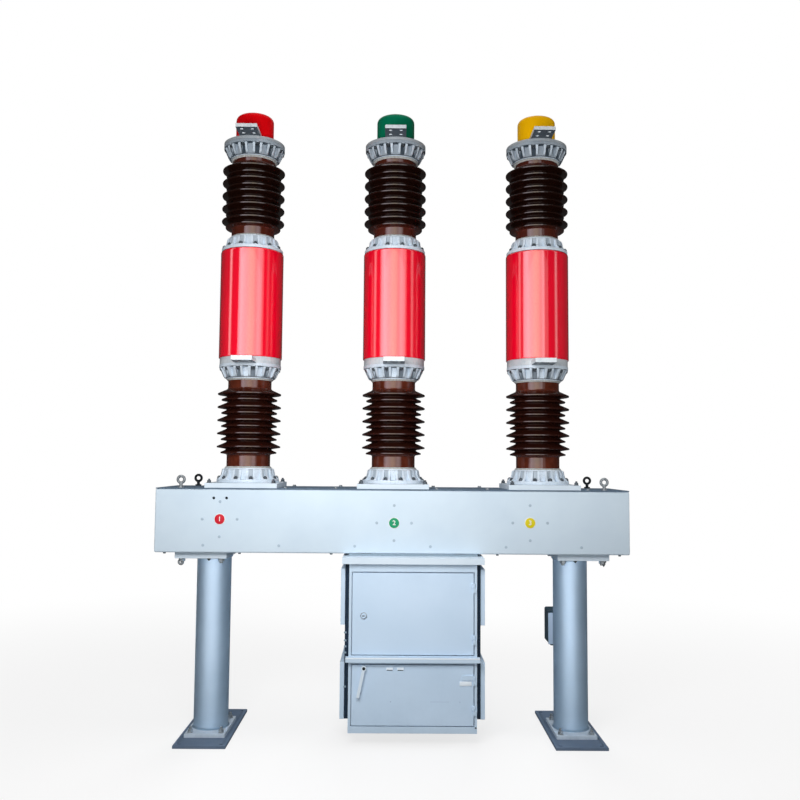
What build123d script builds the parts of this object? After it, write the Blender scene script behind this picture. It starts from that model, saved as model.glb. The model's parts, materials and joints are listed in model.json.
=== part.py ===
from build123d import *
import os

os.makedirs("parts", exist_ok=True)

# Outdoor gas-insulated circuit breaker: three identical poles on a box beam, the beam on two
# pipe columns, and the mechanism cabinet hung under the beam. Millimetres, X along the beam,
# the front towards -Y, Z up from the ground, the middle pole on the Z axis.

# Layout along the beam
PHASE_SPACING = 850
POLE_X = {"left": -PHASE_SPACING, "middle": 0, "right": PHASE_SPACING}
COLUMN_X = 1026
COLUMN_Y = -40

# Foundation plates, one under each column
FOUNDATION_WIDTH = 284
FOUNDATION_DEPTH = 682
FOUNDATION_THICKNESS = 16
ANCHOR_SPACING_X = 224
ANCHOR_SPACING_Y = 620
ANCHOR_HOLE_DIAMETER = 22

# Columns, with the plate welded on each end
PIPE_DIAMETER = 194
PIPE_WALL = 8
COLUMN_LENGTH = 952
FOOT_PLATE_WIDTH = 224
FOOT_PLATE_DEPTH = 340
FOOT_PLATE_THICKNESS = 20
HEAD_PLATE_LENGTH = 290
HEAD_PLATE_DEPTH = 300
HEAD_PLATE_THICKNESS = 22

# Box beam with its cover and lifting eyes
BEAM_LENGTH = 2646
BEAM_DEPTH = 480
BEAM_HEIGHT = 351
BEAM_CORNER_RADIUS = 8
BEAM_SEAT_THICKNESS = 16
BEAM_COVER_THICKNESS = 6
VENT_HOLE_X = (-997, -926)
VENT_HOLE_BELOW_TOP = 49
VENT_HOLE_DIAMETER = 14
VENT_HOLE_DEPTH = 10
EYE_SPACING_X = 2376
EYE_SPACING_Y = 424
EYE_CENTRE_HEIGHT = 46
EYE_OUTER_DIAMETER = 52
EYE_HOLE_DIAMETER = 30
EYE_THICKNESS = 14
EYE_COLLAR_DIAMETER = 36
EYE_COLLAR_HEIGHT = 8
EYE_SHANK_DIAMETER = 20

# Pole: mounting plate and cemented flanges
BASE_PLATE_WIDTH = 404
BASE_PLATE_BACK = 200
BASE_PLATE_THICKNESS = 28
FLANGE_RIM_DIAMETER = 360
FLANGE_RIM_THICKNESS = 18
FLANGE_HEIGHT = 84
FLANGE_FLOOR = 14
FLANGE_WALL_DIAMETER = 294
FLANGE_COLLAR_DIAMETER = 286
WEB_COUNT = 12
WEB_THICKNESS = 16
WEB_FOOT_INSET = 6
WEB_FOOT_RISE = 5
WEB_KNEE_REACH = 13
WEB_KNEE_RISE = 24
WEB_TOP_REACH = 6
WEB_TOP_DROP = 8

# Pole: porcelain, with a long and a short shed in each pitch
PORCELAIN_DIAMETER = 252
CEMENT_GAP = 1
LOWER_INSULATOR_HEIGHT = 685
UPPER_INSULATOR_HEIGHT = 643
SHED_PAIRS = 5
SHED_PITCH = 77
SHED_STEP = 34
LONG_SHED_DIAMETER = 368
SHORT_SHED_DIAMETER = 324
SHED_TIP_THICKNESS = 8
SHED_TOP_SLOPE = 0.45
LONG_SHED_UNDERSIDE_FALL = 9
SHORT_SHED_UNDERSIDE_FALL = 6

# Pole: terminals, chamber and cap
LOWER_TERMINAL_DIAMETER = 356
LOWER_TERMINAL_THICKNESS = 39
TOP_TERMINAL_DIAMETER = 360
TOP_TERMINAL_THICKNESS = 16
PAD_WIDTH = 122
PAD_FRONT = 304
LOWER_PAD_THICKNESS = 25
TOP_PAD_THICKNESS = 20
PAD_CORNER_RADIUS = 6
PAD_HOLE_SPACING = 60
PAD_HOLE_DIAMETER = 18
PAD_CAP_GAP = 6
CHAMBER_DIAMETER = 368
CHAMBER_HEIGHT = 633
CHAMBER_TOP_RADIUS = 12
CAP_DIAMETER = 224
CAP_HEIGHT = 178
CAP_EDGE_RADIUS = 34

# Mechanism cabinet, hung off centre under the beam
CABINET_X = 115
CABINET_WIDTH = 700
CABINET_FRONT = 296
CABINET_DEPTH = 580
CABINET_HEIGHT = 907
CABINET_WALL = 4
ROOF_WIDTH = 776
ROOF_DEPTH = 650
ROOF_THICKNESS = 35
HANGER_WIDTH = 60
HANGER_THICKNESS = 12
HANGER_SPACING = 520
STILE_WIDTH = 14
FRAME_DEPTH = 20
BOTTOM_RAIL = 36
MIDDLE_RAIL = 44
TOP_RAIL = 45
UPPER_OPENING = 450

# Doors, their hinges and the handle
DOOR_GAP = 5
DOOR_DEPTH = 20
DOOR_SHEET = 3
HINGE_STANDOFF = 7
HINGE_BARREL_DIAMETER = 11
HINGE_PIN_DIAMETER = 6
HINGE_RUNNING_GAP = 0.05
HINGE_LENGTH = 26
HINGE_JOINT_GAP = 1
HINGE_INSET = 60
HINGE_LEAF = 12
STRAP_LENGTH = 63
STRAP_THICKNESS = 6
LOCK_FROM_LEFT = 62
LOCK_HEIGHT = 209
LOCK_DIAMETER = 28
LOCK_PROUD = 12
HANDLE_FROM_LEFT = 66
HANDLE_BELOW_TOP = 15
HANDLE_LENGTH = 151
HANDLE_WIDTH = 17
HANDLE_LEAN = 11.6
HANDLE_BOSS_DIAMETER = 28
HANDLE_STANDOFF = 12
HANDLE_THICKNESS = 13
HANDLE_SPINDLE_DIAMETER = 12
HANDLE_SPINDLE_REACH = 9
HANDLE_FACE_GAP = 0.5

# Rain ledge over the lower door
LEDGE_OVERHANG = 15
LEDGE_PROJECTION = 36
LEDGE_FALL = 8
LEDGE_LIP = 18
LEDGE_SHEET = 3
LEDGE_BELOW_OPENING = 4

# Side covers, two on each side of the cabinet
COVER_PANEL = 24
COVER_NECK = 24
COVER_NECK_INSET = 16
COVER_FRONT_INSET = 46
COVER_BACK_INSET = 44
UPPER_COVER_HEIGHT = 305
UPPER_COVER_BELOW_TOP = 34
LOWER_COVER_HEIGHT = 306
LOWER_COVER_ABOVE_BOTTOM = 62

# Junction box behind the right column
BOX_WIDTH = 200
BOX_HEIGHT = 200
BOX_DEPTH = 170
BOX_BOTTOM = 455
BOX_GAP = 70
BOX_OFFSET = 12
BOX_CORNER_RADIUS = 12
BRACKET_WIDTH = 120
BRACKET_HEIGHT = 40
BRACKET_SPREAD = 110
BRACKET_BITE = 20

# Levels from the ground up
foundation_top = FOUNDATION_THICKNESS
foot_top = foundation_top + FOOT_PLATE_THICKNESS
column_top = foot_top + COLUMN_LENGTH
head_top = column_top + HEAD_PLATE_THICKNESS
beam_bottom = head_top + BEAM_SEAT_THICKNESS
cover_bottom = beam_bottom + BEAM_HEIGHT
beam_top = cover_bottom + BEAM_COVER_THICKNESS
eye_level = beam_top + EYE_CENTRE_HEIGHT
lower_insulator_bottom = beam_top + BASE_PLATE_THICKNESS
lower_insulator_top = lower_insulator_bottom + LOWER_INSULATOR_HEIGHT
chamber_bottom = lower_insulator_top + LOWER_TERMINAL_THICKNESS
chamber_top = chamber_bottom + CHAMBER_HEIGHT
upper_insulator_top = chamber_top + UPPER_INSULATOR_HEIGHT
terminal_top = upper_insulator_top + TOP_TERMINAL_THICKNESS
roof_top = beam_bottom - HANGER_THICKNESS
roof_bottom = roof_top - ROOF_THICKNESS
cabinet_bottom = roof_bottom - CABINET_HEIGHT

# The inner edge of each head plate is in line with the inner side of its column.
head_x = COLUMN_X - PIPE_DIAMETER / 2 + HEAD_PLATE_LENGTH / 2


def block(x_from, x_to, y_from, y_to, z_from, z_to, mode=Mode.ADD):
    """Adds a plain block between six faces to the part being built, or cuts it away."""
    with Locations(((x_from + x_to) / 2, (y_from + y_to) / 2, (z_from + z_to) / 2)):
        Box(x_to - x_from, y_to - y_from, z_to - z_from, mode=mode)


# Foundation plates
with BuildPart() as foundation_plates:
    with BuildSketch():
        with Locations((-COLUMN_X, 0), (COLUMN_X, 0)):
            Rectangle(FOUNDATION_WIDTH, FOUNDATION_DEPTH)
        for plate_x in (-COLUMN_X, COLUMN_X):
            with Locations((plate_x, 0)):
                with GridLocations(ANCHOR_SPACING_X, ANCHOR_SPACING_Y, 2, 2):
                    Circle(ANCHOR_HOLE_DIAMETER / 2, mode=Mode.SUBTRACT)
    extrude(amount=FOUNDATION_THICKNESS)
foundation_plates.part.label = "foundation_plates"
export_step(foundation_plates.part, "parts/foundation_plates.step")

# Columns
with BuildPart() as columns:
    with BuildSketch(Plane.XY.offset(foot_top)):
        with Locations((-COLUMN_X, COLUMN_Y), (COLUMN_X, COLUMN_Y)):
            Circle(PIPE_DIAMETER / 2)
            Circle(PIPE_DIAMETER / 2 - PIPE_WALL, mode=Mode.SUBTRACT)
    extrude(amount=COLUMN_LENGTH)
columns.part.label = "columns"
export_step(columns.part, "parts/columns.step")

# Plates welded to the two ends of each column
with BuildPart() as column_end_plates:
    with BuildSketch(Plane.XY.offset(foundation_top)):
        with Locations((-COLUMN_X, COLUMN_Y), (COLUMN_X, COLUMN_Y)):
            Rectangle(FOOT_PLATE_WIDTH, FOOT_PLATE_DEPTH)
    extrude(amount=FOOT_PLATE_THICKNESS)
    with BuildSketch(Plane.XY.offset(column_top)):
        with Locations((-head_x, COLUMN_Y), (head_x, COLUMN_Y)):
            Rectangle(HEAD_PLATE_LENGTH, HEAD_PLATE_DEPTH)
    extrude(amount=HEAD_PLATE_THICKNESS)
column_end_plates.part.label = "column_end_plates"
export_step(column_end_plates.part, "parts/column_end_plates.step")

# Box beam, with a seat welded under each end
with BuildPart() as beam:
    with BuildSketch(Plane.XY.offset(beam_bottom)):
        RectangleRounded(BEAM_LENGTH, BEAM_DEPTH, BEAM_CORNER_RADIUS)
    extrude(amount=BEAM_HEIGHT)
    fillet(beam.faces().sort_by(Axis.Z)[0].edges(), BEAM_CORNER_RADIUS * 0.9)
    with BuildSketch(Plane.XY.offset(head_top)):
        with Locations((-head_x, COLUMN_Y), (head_x, COLUMN_Y)):
            Rectangle(HEAD_PLATE_LENGTH, HEAD_PLATE_DEPTH)
    extrude(amount=BEAM_SEAT_THICKNESS)
    with BuildSketch(Plane.XZ.offset(BEAM_DEPTH / 2)):
        with Locations([(x, cover_bottom - VENT_HOLE_BELOW_TOP) for x in VENT_HOLE_X]):
            Circle(VENT_HOLE_DIAMETER / 2)
    extrude(amount=-VENT_HOLE_DEPTH, mode=Mode.SUBTRACT)
beam.part.label = "beam"
export_step(beam.part, "parts/beam.step")

# Beam cover
with BuildPart() as beam_cover:
    with BuildSketch(Plane.XY.offset(cover_bottom)):
        RectangleRounded(BEAM_LENGTH, BEAM_DEPTH, BEAM_CORNER_RADIUS)
    extrude(amount=BEAM_COVER_THICKNESS)
beam_cover.part.label = "beam_cover"
export_step(beam_cover.part, "parts/beam_cover.step")

# Lifting eyes near the four corners of the beam
with BuildPart() as lifting_eyes:
    with BuildSketch(Plane.XY.offset(beam_top)):
        with GridLocations(EYE_SPACING_X, EYE_SPACING_Y, 2, 2):
            Circle(EYE_COLLAR_DIAMETER / 2)
    extrude(amount=EYE_COLLAR_HEIGHT)
    with BuildSketch(Plane.XY.offset(beam_top)):
        with GridLocations(EYE_SPACING_X, EYE_SPACING_Y, 2, 2):
            Circle(EYE_SHANK_DIAMETER / 2)
    extrude(amount=EYE_CENTRE_HEIGHT - (EYE_OUTER_DIAMETER + EYE_HOLE_DIAMETER) / 4)
    for row_y in (-EYE_SPACING_Y / 2, EYE_SPACING_Y / 2):
        with BuildSketch(Plane.XZ.offset(-row_y)):
            with Locations((-EYE_SPACING_X / 2, eye_level), (EYE_SPACING_X / 2, eye_level)):
                Circle(EYE_OUTER_DIAMETER / 2)
        extrude(amount=EYE_THICKNESS / 2, both=True)
        with BuildSketch(Plane.XZ.offset(-row_y)):
            with Locations((-EYE_SPACING_X / 2, eye_level), (EYE_SPACING_X / 2, eye_level)):
                Circle(EYE_HOLE_DIAMETER / 2)
        extrude(amount=EYE_THICKNESS, both=True, mode=Mode.SUBTRACT)
lifting_eyes.part.label = "lifting_eyes"
export_step(lifting_eyes.part, "parts/lifting_eyes.step")


def ribbed_flange(rim_level, direction):
    """Cast flange cemented on the porcelain, its collar above (1) or below (-1) its rim."""
    side = Plane(origin=(0, 0, rim_level), x_dir=(1, 0, 0), z_dir=(0, -direction, 0))
    rim_radius = FLANGE_RIM_DIAMETER / 2
    wall_radius = FLANGE_WALL_DIAMETER / 2
    collar_radius = FLANGE_COLLAR_DIAMETER / 2
    bore_radius = PORCELAIN_DIAMETER / 2 + CEMENT_GAP
    with BuildPart() as web:
        with BuildSketch(side):
            with BuildLine():
                Polyline(
                    (bore_radius + CEMENT_GAP, FLANGE_RIM_THICKNESS / 2),
                    (rim_radius - WEB_FOOT_INSET, FLANGE_RIM_THICKNESS / 2),
                    (rim_radius - WEB_FOOT_INSET, FLANGE_RIM_THICKNESS + WEB_FOOT_RISE),
                    (collar_radius + WEB_KNEE_REACH, FLANGE_RIM_THICKNESS + WEB_KNEE_RISE),
                    (collar_radius + WEB_TOP_REACH, FLANGE_HEIGHT - WEB_TOP_DROP),
                    (bore_radius + CEMENT_GAP, FLANGE_HEIGHT - WEB_TOP_DROP),
                    close=True,
                )
            make_face()
        extrude(amount=WEB_THICKNESS / 2, both=True)
    with BuildPart() as casting:
        with BuildSketch(side):
            with BuildLine():
                Polyline(
                    (0, 0),
                    (rim_radius, 0),
                    (rim_radius, FLANGE_RIM_THICKNESS),
                    (wall_radius, FLANGE_RIM_THICKNESS),
                    (collar_radius, FLANGE_HEIGHT),
                    (bore_radius, FLANGE_HEIGHT),
                    (bore_radius, FLANGE_FLOOR),
                    (0, FLANGE_FLOOR),
                    close=True,
                )
            make_face()
        revolve(axis=Axis.Z)
        with PolarLocations(0, WEB_COUNT):
            add(web.part)
    return casting.part


def shed_outline(tip_level, diameter, underside_fall):
    """Points of one drooping shed, from its underside root to its top root."""
    root = PORCELAIN_DIAMETER / 2
    tip = diameter / 2
    underside = tip_level - SHED_TIP_THICKNESS / 2
    top = tip_level + SHED_TIP_THICKNESS / 2
    return [
        (root, underside - underside_fall),
        (tip, underside),
        (tip, top),
        (root, top + (tip - root) * SHED_TOP_SLOPE),
    ]


def porcelain_body(flange_bottom, flange_top):
    """Shedded porcelain that stands on the floors of the flanges at its two ends."""
    low = flange_bottom + FLANGE_FLOOR
    high = flange_top - FLANGE_FLOOR
    middle = (low + high) / 2
    outline = [(0, low), (PORCELAIN_DIAMETER / 2, low)]
    for index in range(SHED_PAIRS):
        pair_level = middle + (index - (SHED_PAIRS - 1) / 2) * SHED_PITCH
        for tip_level, diameter, underside_fall in (
            (pair_level - SHED_STEP / 2, SHORT_SHED_DIAMETER, SHORT_SHED_UNDERSIDE_FALL),
            (pair_level + SHED_STEP / 2, LONG_SHED_DIAMETER, LONG_SHED_UNDERSIDE_FALL),
        ):
            outline += shed_outline(tip_level, diameter, underside_fall)
    outline += [(PORCELAIN_DIAMETER / 2, high), (0, high)]
    with BuildPart() as body:
        with BuildSketch(Plane.XZ):
            with BuildLine():
                Polyline(*outline, close=True)
            make_face()
        revolve(axis=Axis.Z)
    return body.part


def flange_pair(bottom, top):
    """The two flanges of one insulator, facing each other."""
    with BuildPart() as pair:
        add(ribbed_flange(bottom, 1))
        add(ribbed_flange(top, -1))
    return pair.part


def terminal(disc_bottom, disc_diameter, disc_thickness, pad_bottom, pad_thickness, pad_back):
    """Round terminal plate with a drilled connection pad that points to the front."""
    pad_depth = PAD_FRONT - pad_back
    pad_centre = -(PAD_FRONT + pad_back) / 2
    with BuildPart() as plate:
        with BuildSketch(Plane.XY.offset(disc_bottom)):
            Circle(disc_diameter / 2)
        extrude(amount=disc_thickness)
        with BuildSketch(Plane.XY.offset(pad_bottom)):
            with Locations((0, pad_centre)):
                Rectangle(PAD_WIDTH, pad_depth)
            front_corners = plate_corners(pad_centre)
            fillet(front_corners, PAD_CORNER_RADIUS)
        extrude(amount=pad_thickness)
        with BuildSketch(Plane.XY.offset(pad_bottom)):
            with Locations((0, PAD_WIDTH / 2 - PAD_FRONT)):
                with GridLocations(PAD_HOLE_SPACING, PAD_HOLE_SPACING, 2, 2):
                    Circle(PAD_HOLE_DIAMETER / 2)
        extrude(amount=pad_thickness, mode=Mode.SUBTRACT)
    return plate.part


def plate_corners(pad_centre):
    """The two front corners of the pad being sketched."""
    return [corner for corner in vertices() if corner.Y < pad_centre]


# Mounting plate of a pole, in line with the front of the beam
with BuildPart() as base_plate:
    base_plate_front = BEAM_DEPTH / 2
    with BuildSketch(Plane.XY.offset(beam_top)):
        with Locations((0, (BASE_PLATE_BACK - base_plate_front) / 2)):
            Rectangle(BASE_PLATE_WIDTH, base_plate_front + BASE_PLATE_BACK)
    extrude(amount=BASE_PLATE_THICKNESS)

# Chamber housing
with BuildPart() as chamber:
    with BuildSketch(Plane.XY.offset(chamber_bottom)):
        Circle(CHAMBER_DIAMETER / 2)
    extrude(amount=CHAMBER_HEIGHT)
    fillet(chamber.edges().sort_by(Axis.Z)[-1], CHAMBER_TOP_RADIUS)

# Cap
with BuildPart() as cap:
    with BuildSketch(Plane.XY.offset(terminal_top)):
        Circle(CAP_DIAMETER / 2)
    extrude(amount=CAP_HEIGHT)
    fillet(cap.edges().sort_by(Axis.Z)[-1], CAP_EDGE_RADIUS)

pole_pieces = {
    "base_plate": base_plate.part,
    "lower_flanges": flange_pair(lower_insulator_bottom, lower_insulator_top),
    "lower_porcelain": porcelain_body(lower_insulator_bottom, lower_insulator_top),
    "lower_terminal": terminal(
        lower_insulator_top,
        LOWER_TERMINAL_DIAMETER,
        LOWER_TERMINAL_THICKNESS,
        lower_insulator_top,
        LOWER_PAD_THICKNESS,
        LOWER_TERMINAL_DIAMETER / 2 - PAD_WIDTH / 2,
    ),
    "chamber": chamber.part,
    "upper_flanges": flange_pair(chamber_top, upper_insulator_top),
    "upper_porcelain": porcelain_body(chamber_top, upper_insulator_top),
    "top_terminal": terminal(
        upper_insulator_top,
        TOP_TERMINAL_DIAMETER,
        TOP_TERMINAL_THICKNESS,
        terminal_top,
        TOP_PAD_THICKNESS,
        CAP_DIAMETER / 2 + PAD_CAP_GAP,
    ),
    "cap": cap.part,
}

# The three poles are copies of one another.
for pole, pole_x in POLE_X.items():
    for piece_name, piece in pole_pieces.items():
        placed = Pos(pole_x, 0, 0) * piece
        placed.label = f"{pole}_{piece_name}"
        export_step(placed, f"parts/{placed.label}.step")

# Faces of the cabinet
cabinet_left = CABINET_X - CABINET_WIDTH / 2
cabinet_right = CABINET_X + CABINET_WIDTH / 2
cabinet_front = -CABINET_FRONT
cabinet_back = cabinet_front + CABINET_DEPTH
frame_back = cabinet_front + FRAME_DEPTH
opening_left = cabinet_left + STILE_WIDTH
opening_right = cabinet_right - STILE_WIDTH
upper_opening_top = roof_bottom - TOP_RAIL
upper_opening_bottom = upper_opening_top - UPPER_OPENING
lower_opening_top = upper_opening_bottom - MIDDLE_RAIL
lower_opening_bottom = cabinet_bottom + BOTTOM_RAIL
door_left = opening_left + DOOR_GAP
door_right = opening_right - DOOR_GAP
hinge_x = opening_right - DOOR_GAP / 2
hinge_y = cabinet_front - HINGE_STANDOFF

# Cabinet side walls
with BuildPart() as cabinet_side_walls:
    for wall_left in (cabinet_left, cabinet_right - CABINET_WALL):
        block(wall_left, wall_left + CABINET_WALL, frame_back, cabinet_back, cabinet_bottom, roof_bottom)
cabinet_side_walls.part.label = "cabinet_side_walls"
export_step(cabinet_side_walls.part, "parts/cabinet_side_walls.step")

# Cabinet back wall
with BuildPart() as cabinet_back_wall:
    block(
        cabinet_left + CABINET_WALL,
        cabinet_right - CABINET_WALL,
        cabinet_back - CABINET_WALL,
        cabinet_back,
        cabinet_bottom,
        roof_bottom,
    )
cabinet_back_wall.part.label = "cabinet_back_wall"
export_step(cabinet_back_wall.part, "parts/cabinet_back_wall.step")

# Cabinet floor
with BuildPart() as cabinet_floor:
    block(
        cabinet_left + CABINET_WALL,
        cabinet_right - CABINET_WALL,
        frame_back,
        cabinet_back - CABINET_WALL,
        cabinet_bottom,
        cabinet_bottom + CABINET_WALL,
    )
cabinet_floor.part.label = "cabinet_floor"
export_step(cabinet_floor.part, "parts/cabinet_floor.step")

# Hinge levels of each door, the lower end of each pair of knuckles
upper_hinges = (upper_opening_bottom + HINGE_INSET, upper_opening_top - HINGE_INSET - 2 * HINGE_LENGTH)
lower_hinges = (lower_opening_bottom + HINGE_INSET, lower_opening_top - HINGE_INSET - 2 * HINGE_LENGTH)

# Front stiles; the right one carries the fixed hinge knuckles and their pins
with BuildPart() as front_stiles:
    block(cabinet_left, opening_left, cabinet_front, frame_back, cabinet_bottom, roof_bottom)
    block(opening_right, cabinet_right, cabinet_front, frame_back, cabinet_bottom, roof_bottom)
    for level in upper_hinges + lower_hinges:
        block(hinge_x, opening_right + HINGE_LEAF, hinge_y, cabinet_front, level, level + HINGE_LENGTH)
        with BuildSketch(Plane.XY.offset(level)):
            with Locations((hinge_x, hinge_y)):
                Circle(HINGE_BARREL_DIAMETER / 2)
        extrude(amount=HINGE_LENGTH)
        with BuildSketch(Plane.XY.offset(level + HINGE_LENGTH)):
            with Locations((hinge_x, hinge_y)):
                Circle(HINGE_PIN_DIAMETER / 2)
        extrude(amount=HINGE_LENGTH)
front_stiles.part.label = "front_stiles"
export_step(front_stiles.part, "parts/front_stiles.step")

# Front rails: under, between and over the doors
with BuildPart() as front_rails:
    for rail_bottom, rail_top in (
        (cabinet_bottom, lower_opening_bottom),
        (lower_opening_top, upper_opening_bottom),
        (upper_opening_top, roof_bottom),
    ):
        block(opening_left, opening_right, cabinet_front, frame_back, rail_bottom, rail_top)
front_rails.part.label = "front_rails"
export_step(front_rails.part, "parts/front_rails.step")

# Cabinet roof with the two bars that hang it from the beam
with BuildPart() as cabinet_roof:
    roof_y = (cabinet_front + cabinet_back) / 2
    block(
        CABINET_X - ROOF_WIDTH / 2,
        CABINET_X + ROOF_WIDTH / 2,
        roof_y - ROOF_DEPTH / 2,
        roof_y + ROOF_DEPTH / 2,
        roof_bottom,
        roof_top,
    )
    for hanger_x in (CABINET_X - HANGER_SPACING / 2, CABINET_X + HANGER_SPACING / 2):
        block(
            hanger_x - HANGER_WIDTH / 2,
            hanger_x + HANGER_WIDTH / 2,
            -BEAM_DEPTH / 2,
            BEAM_DEPTH / 2,
            roof_top,
            beam_bottom,
        )
cabinet_roof.part.label = "cabinet_roof"
export_step(cabinet_roof.part, "parts/cabinet_roof.step")


def hollow_door(opening_bottom, opening_top, hinge_levels):
    """Folded door pan with its hinge knuckles, added to the part being built."""
    low = opening_bottom + DOOR_GAP
    high = opening_top - DOOR_GAP
    block(door_left, door_right, cabinet_front, cabinet_front + DOOR_DEPTH, low, high)
    block(
        door_left + DOOR_SHEET,
        door_right - DOOR_SHEET,
        cabinet_front + DOOR_SHEET,
        cabinet_front + DOOR_DEPTH,
        low + DOOR_SHEET,
        high - DOOR_SHEET,
        mode=Mode.SUBTRACT,
    )
    for level in hinge_levels:
        knuckle_bottom = level + HINGE_LENGTH + HINGE_JOINT_GAP
        knuckle_height = HINGE_LENGTH - HINGE_JOINT_GAP
        knuckle_middle = knuckle_bottom + knuckle_height / 2
        block(
            door_right - HINGE_LEAF,
            hinge_x,
            hinge_y,
            cabinet_front,
            knuckle_bottom,
            knuckle_bottom + knuckle_height,
        )
        with Locations((hinge_x, hinge_y, knuckle_middle)):
            Cylinder(HINGE_BARREL_DIAMETER / 2, knuckle_height)
            Cylinder(HINGE_PIN_DIAMETER / 2 + HINGE_RUNNING_GAP, knuckle_height, mode=Mode.SUBTRACT)


# Upper door, with its round lock
with BuildPart() as upper_door:
    hollow_door(upper_opening_bottom, upper_opening_top, upper_hinges)
    with BuildSketch(Plane.XZ.offset(CABINET_FRONT)):
        with Locations((door_left + LOCK_FROM_LEFT, upper_opening_bottom + DOOR_GAP + LOCK_HEIGHT)):
            Circle(LOCK_DIAMETER / 2)
    extrude(amount=LOCK_PROUD)
upper_door.part.label = "upper_door"
export_step(upper_door.part, "parts/upper_door.step")

# Lower door, with the strap on its upper hinge and the hole for the handle's spindle
handle_x = door_left + HANDLE_FROM_LEFT
handle_z = lower_opening_top - DOOR_GAP - HANDLE_BELOW_TOP
with BuildPart() as lower_door:
    hollow_door(lower_opening_bottom, lower_opening_top, lower_hinges)
    strap_bottom = lower_hinges[1] + HINGE_LENGTH + HINGE_JOINT_GAP
    block(
        door_right - STRAP_LENGTH,
        door_right - HINGE_LEAF / 2,
        cabinet_front - STRAP_THICKNESS,
        cabinet_front,
        strap_bottom,
        strap_bottom + HINGE_LENGTH - HINGE_JOINT_GAP,
    )
    with BuildSketch(Plane.XZ.offset(CABINET_FRONT)):
        with Locations((handle_x, handle_z)):
            Circle(HANDLE_SPINDLE_DIAMETER / 2 + HINGE_RUNNING_GAP)
    extrude(amount=-DOOR_DEPTH, mode=Mode.SUBTRACT)
lower_door.part.label = "lower_door"
export_step(lower_door.part, "parts/lower_door.step")

# Door handle: a lever that hangs a little left of straight down, its boss and its spindle
with BuildPart() as door_handle:
    with BuildSketch(Plane.XZ.offset(CABINET_FRONT + HANDLE_STANDOFF)):
        with Locations(Location((handle_x, handle_z), -90 - HANDLE_LEAN)):
            with Locations((HANDLE_LENGTH / 2, 0)):
                SlotCenterToCenter(HANDLE_LENGTH, HANDLE_WIDTH)
    extrude(amount=HANDLE_THICKNESS)
    with BuildSketch(Plane.XZ.offset(CABINET_FRONT + HANDLE_FACE_GAP)):
        with Locations((handle_x, handle_z)):
            Circle(HANDLE_BOSS_DIAMETER / 2)
    extrude(amount=HANDLE_STANDOFF + HANDLE_THICKNESS - HANDLE_FACE_GAP)
    with BuildSketch(Plane.XZ.offset(CABINET_FRONT + HANDLE_FACE_GAP)):
        with Locations((handle_x, handle_z)):
            Circle(HANDLE_SPINDLE_DIAMETER / 2)
    extrude(amount=-HANDLE_SPINDLE_REACH)
door_handle.part.label = "door_handle"
export_step(door_handle.part, "parts/door_handle.step")

# Rain ledge: a folded sheet that falls to the front and ends in a lip
with BuildPart() as rain_ledge:
    ledge_top = upper_opening_bottom - LEDGE_BELOW_OPENING
    ledge_left = cabinet_left - LEDGE_OVERHANG
    ledge_length = CABINET_WIDTH + 2 * LEDGE_OVERHANG
    with BuildSketch(Plane(origin=(ledge_left, cabinet_front, ledge_top), x_dir=(0, -1, 0), z_dir=(-1, 0, 0))):
        with BuildLine():
            Polyline(
                (0, 0),
                (LEDGE_PROJECTION, -LEDGE_FALL),
                (LEDGE_PROJECTION, -LEDGE_FALL - LEDGE_LIP),
                (LEDGE_PROJECTION - LEDGE_SHEET, -LEDGE_FALL - LEDGE_LIP),
                (LEDGE_PROJECTION - LEDGE_SHEET, -LEDGE_FALL - LEDGE_SHEET),
                (0, -LEDGE_SHEET),
                close=True,
            )
        make_face()
    extrude(amount=-ledge_length)
rain_ledge.part.label = "rain_ledge"
export_step(rain_ledge.part, "parts/rain_ledge.step")

# Side covers: a panel on a narrower neck, which leaves a dark rebate round each panel
upper_cover_top = roof_bottom - UPPER_COVER_BELOW_TOP
lower_cover_bottom = cabinet_bottom + LOWER_COVER_ABOVE_BOTTOM
with BuildPart() as side_covers:
    for wall_x, outward in ((cabinet_left, -1), (cabinet_right, 1)):
        for low, high in (
            (upper_cover_top - UPPER_COVER_HEIGHT, upper_cover_top),
            (lower_cover_bottom, lower_cover_bottom + LOWER_COVER_HEIGHT),
        ):
            neck_face = wall_x + outward * COVER_NECK
            panel_face = neck_face + outward * COVER_PANEL
            block(
                min(wall_x, neck_face),
                max(wall_x, neck_face),
                cabinet_front + COVER_FRONT_INSET + COVER_NECK_INSET,
                cabinet_back - COVER_BACK_INSET - COVER_NECK_INSET,
                low + COVER_NECK_INSET,
                high - COVER_NECK_INSET,
            )
            block(
                min(neck_face, panel_face),
                max(neck_face, panel_face),
                cabinet_front + COVER_FRONT_INSET,
                cabinet_back - COVER_BACK_INSET,
                low,
                high,
            )
side_covers.part.label = "side_covers"
export_step(side_covers.part, "parts/side_covers.step")

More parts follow.
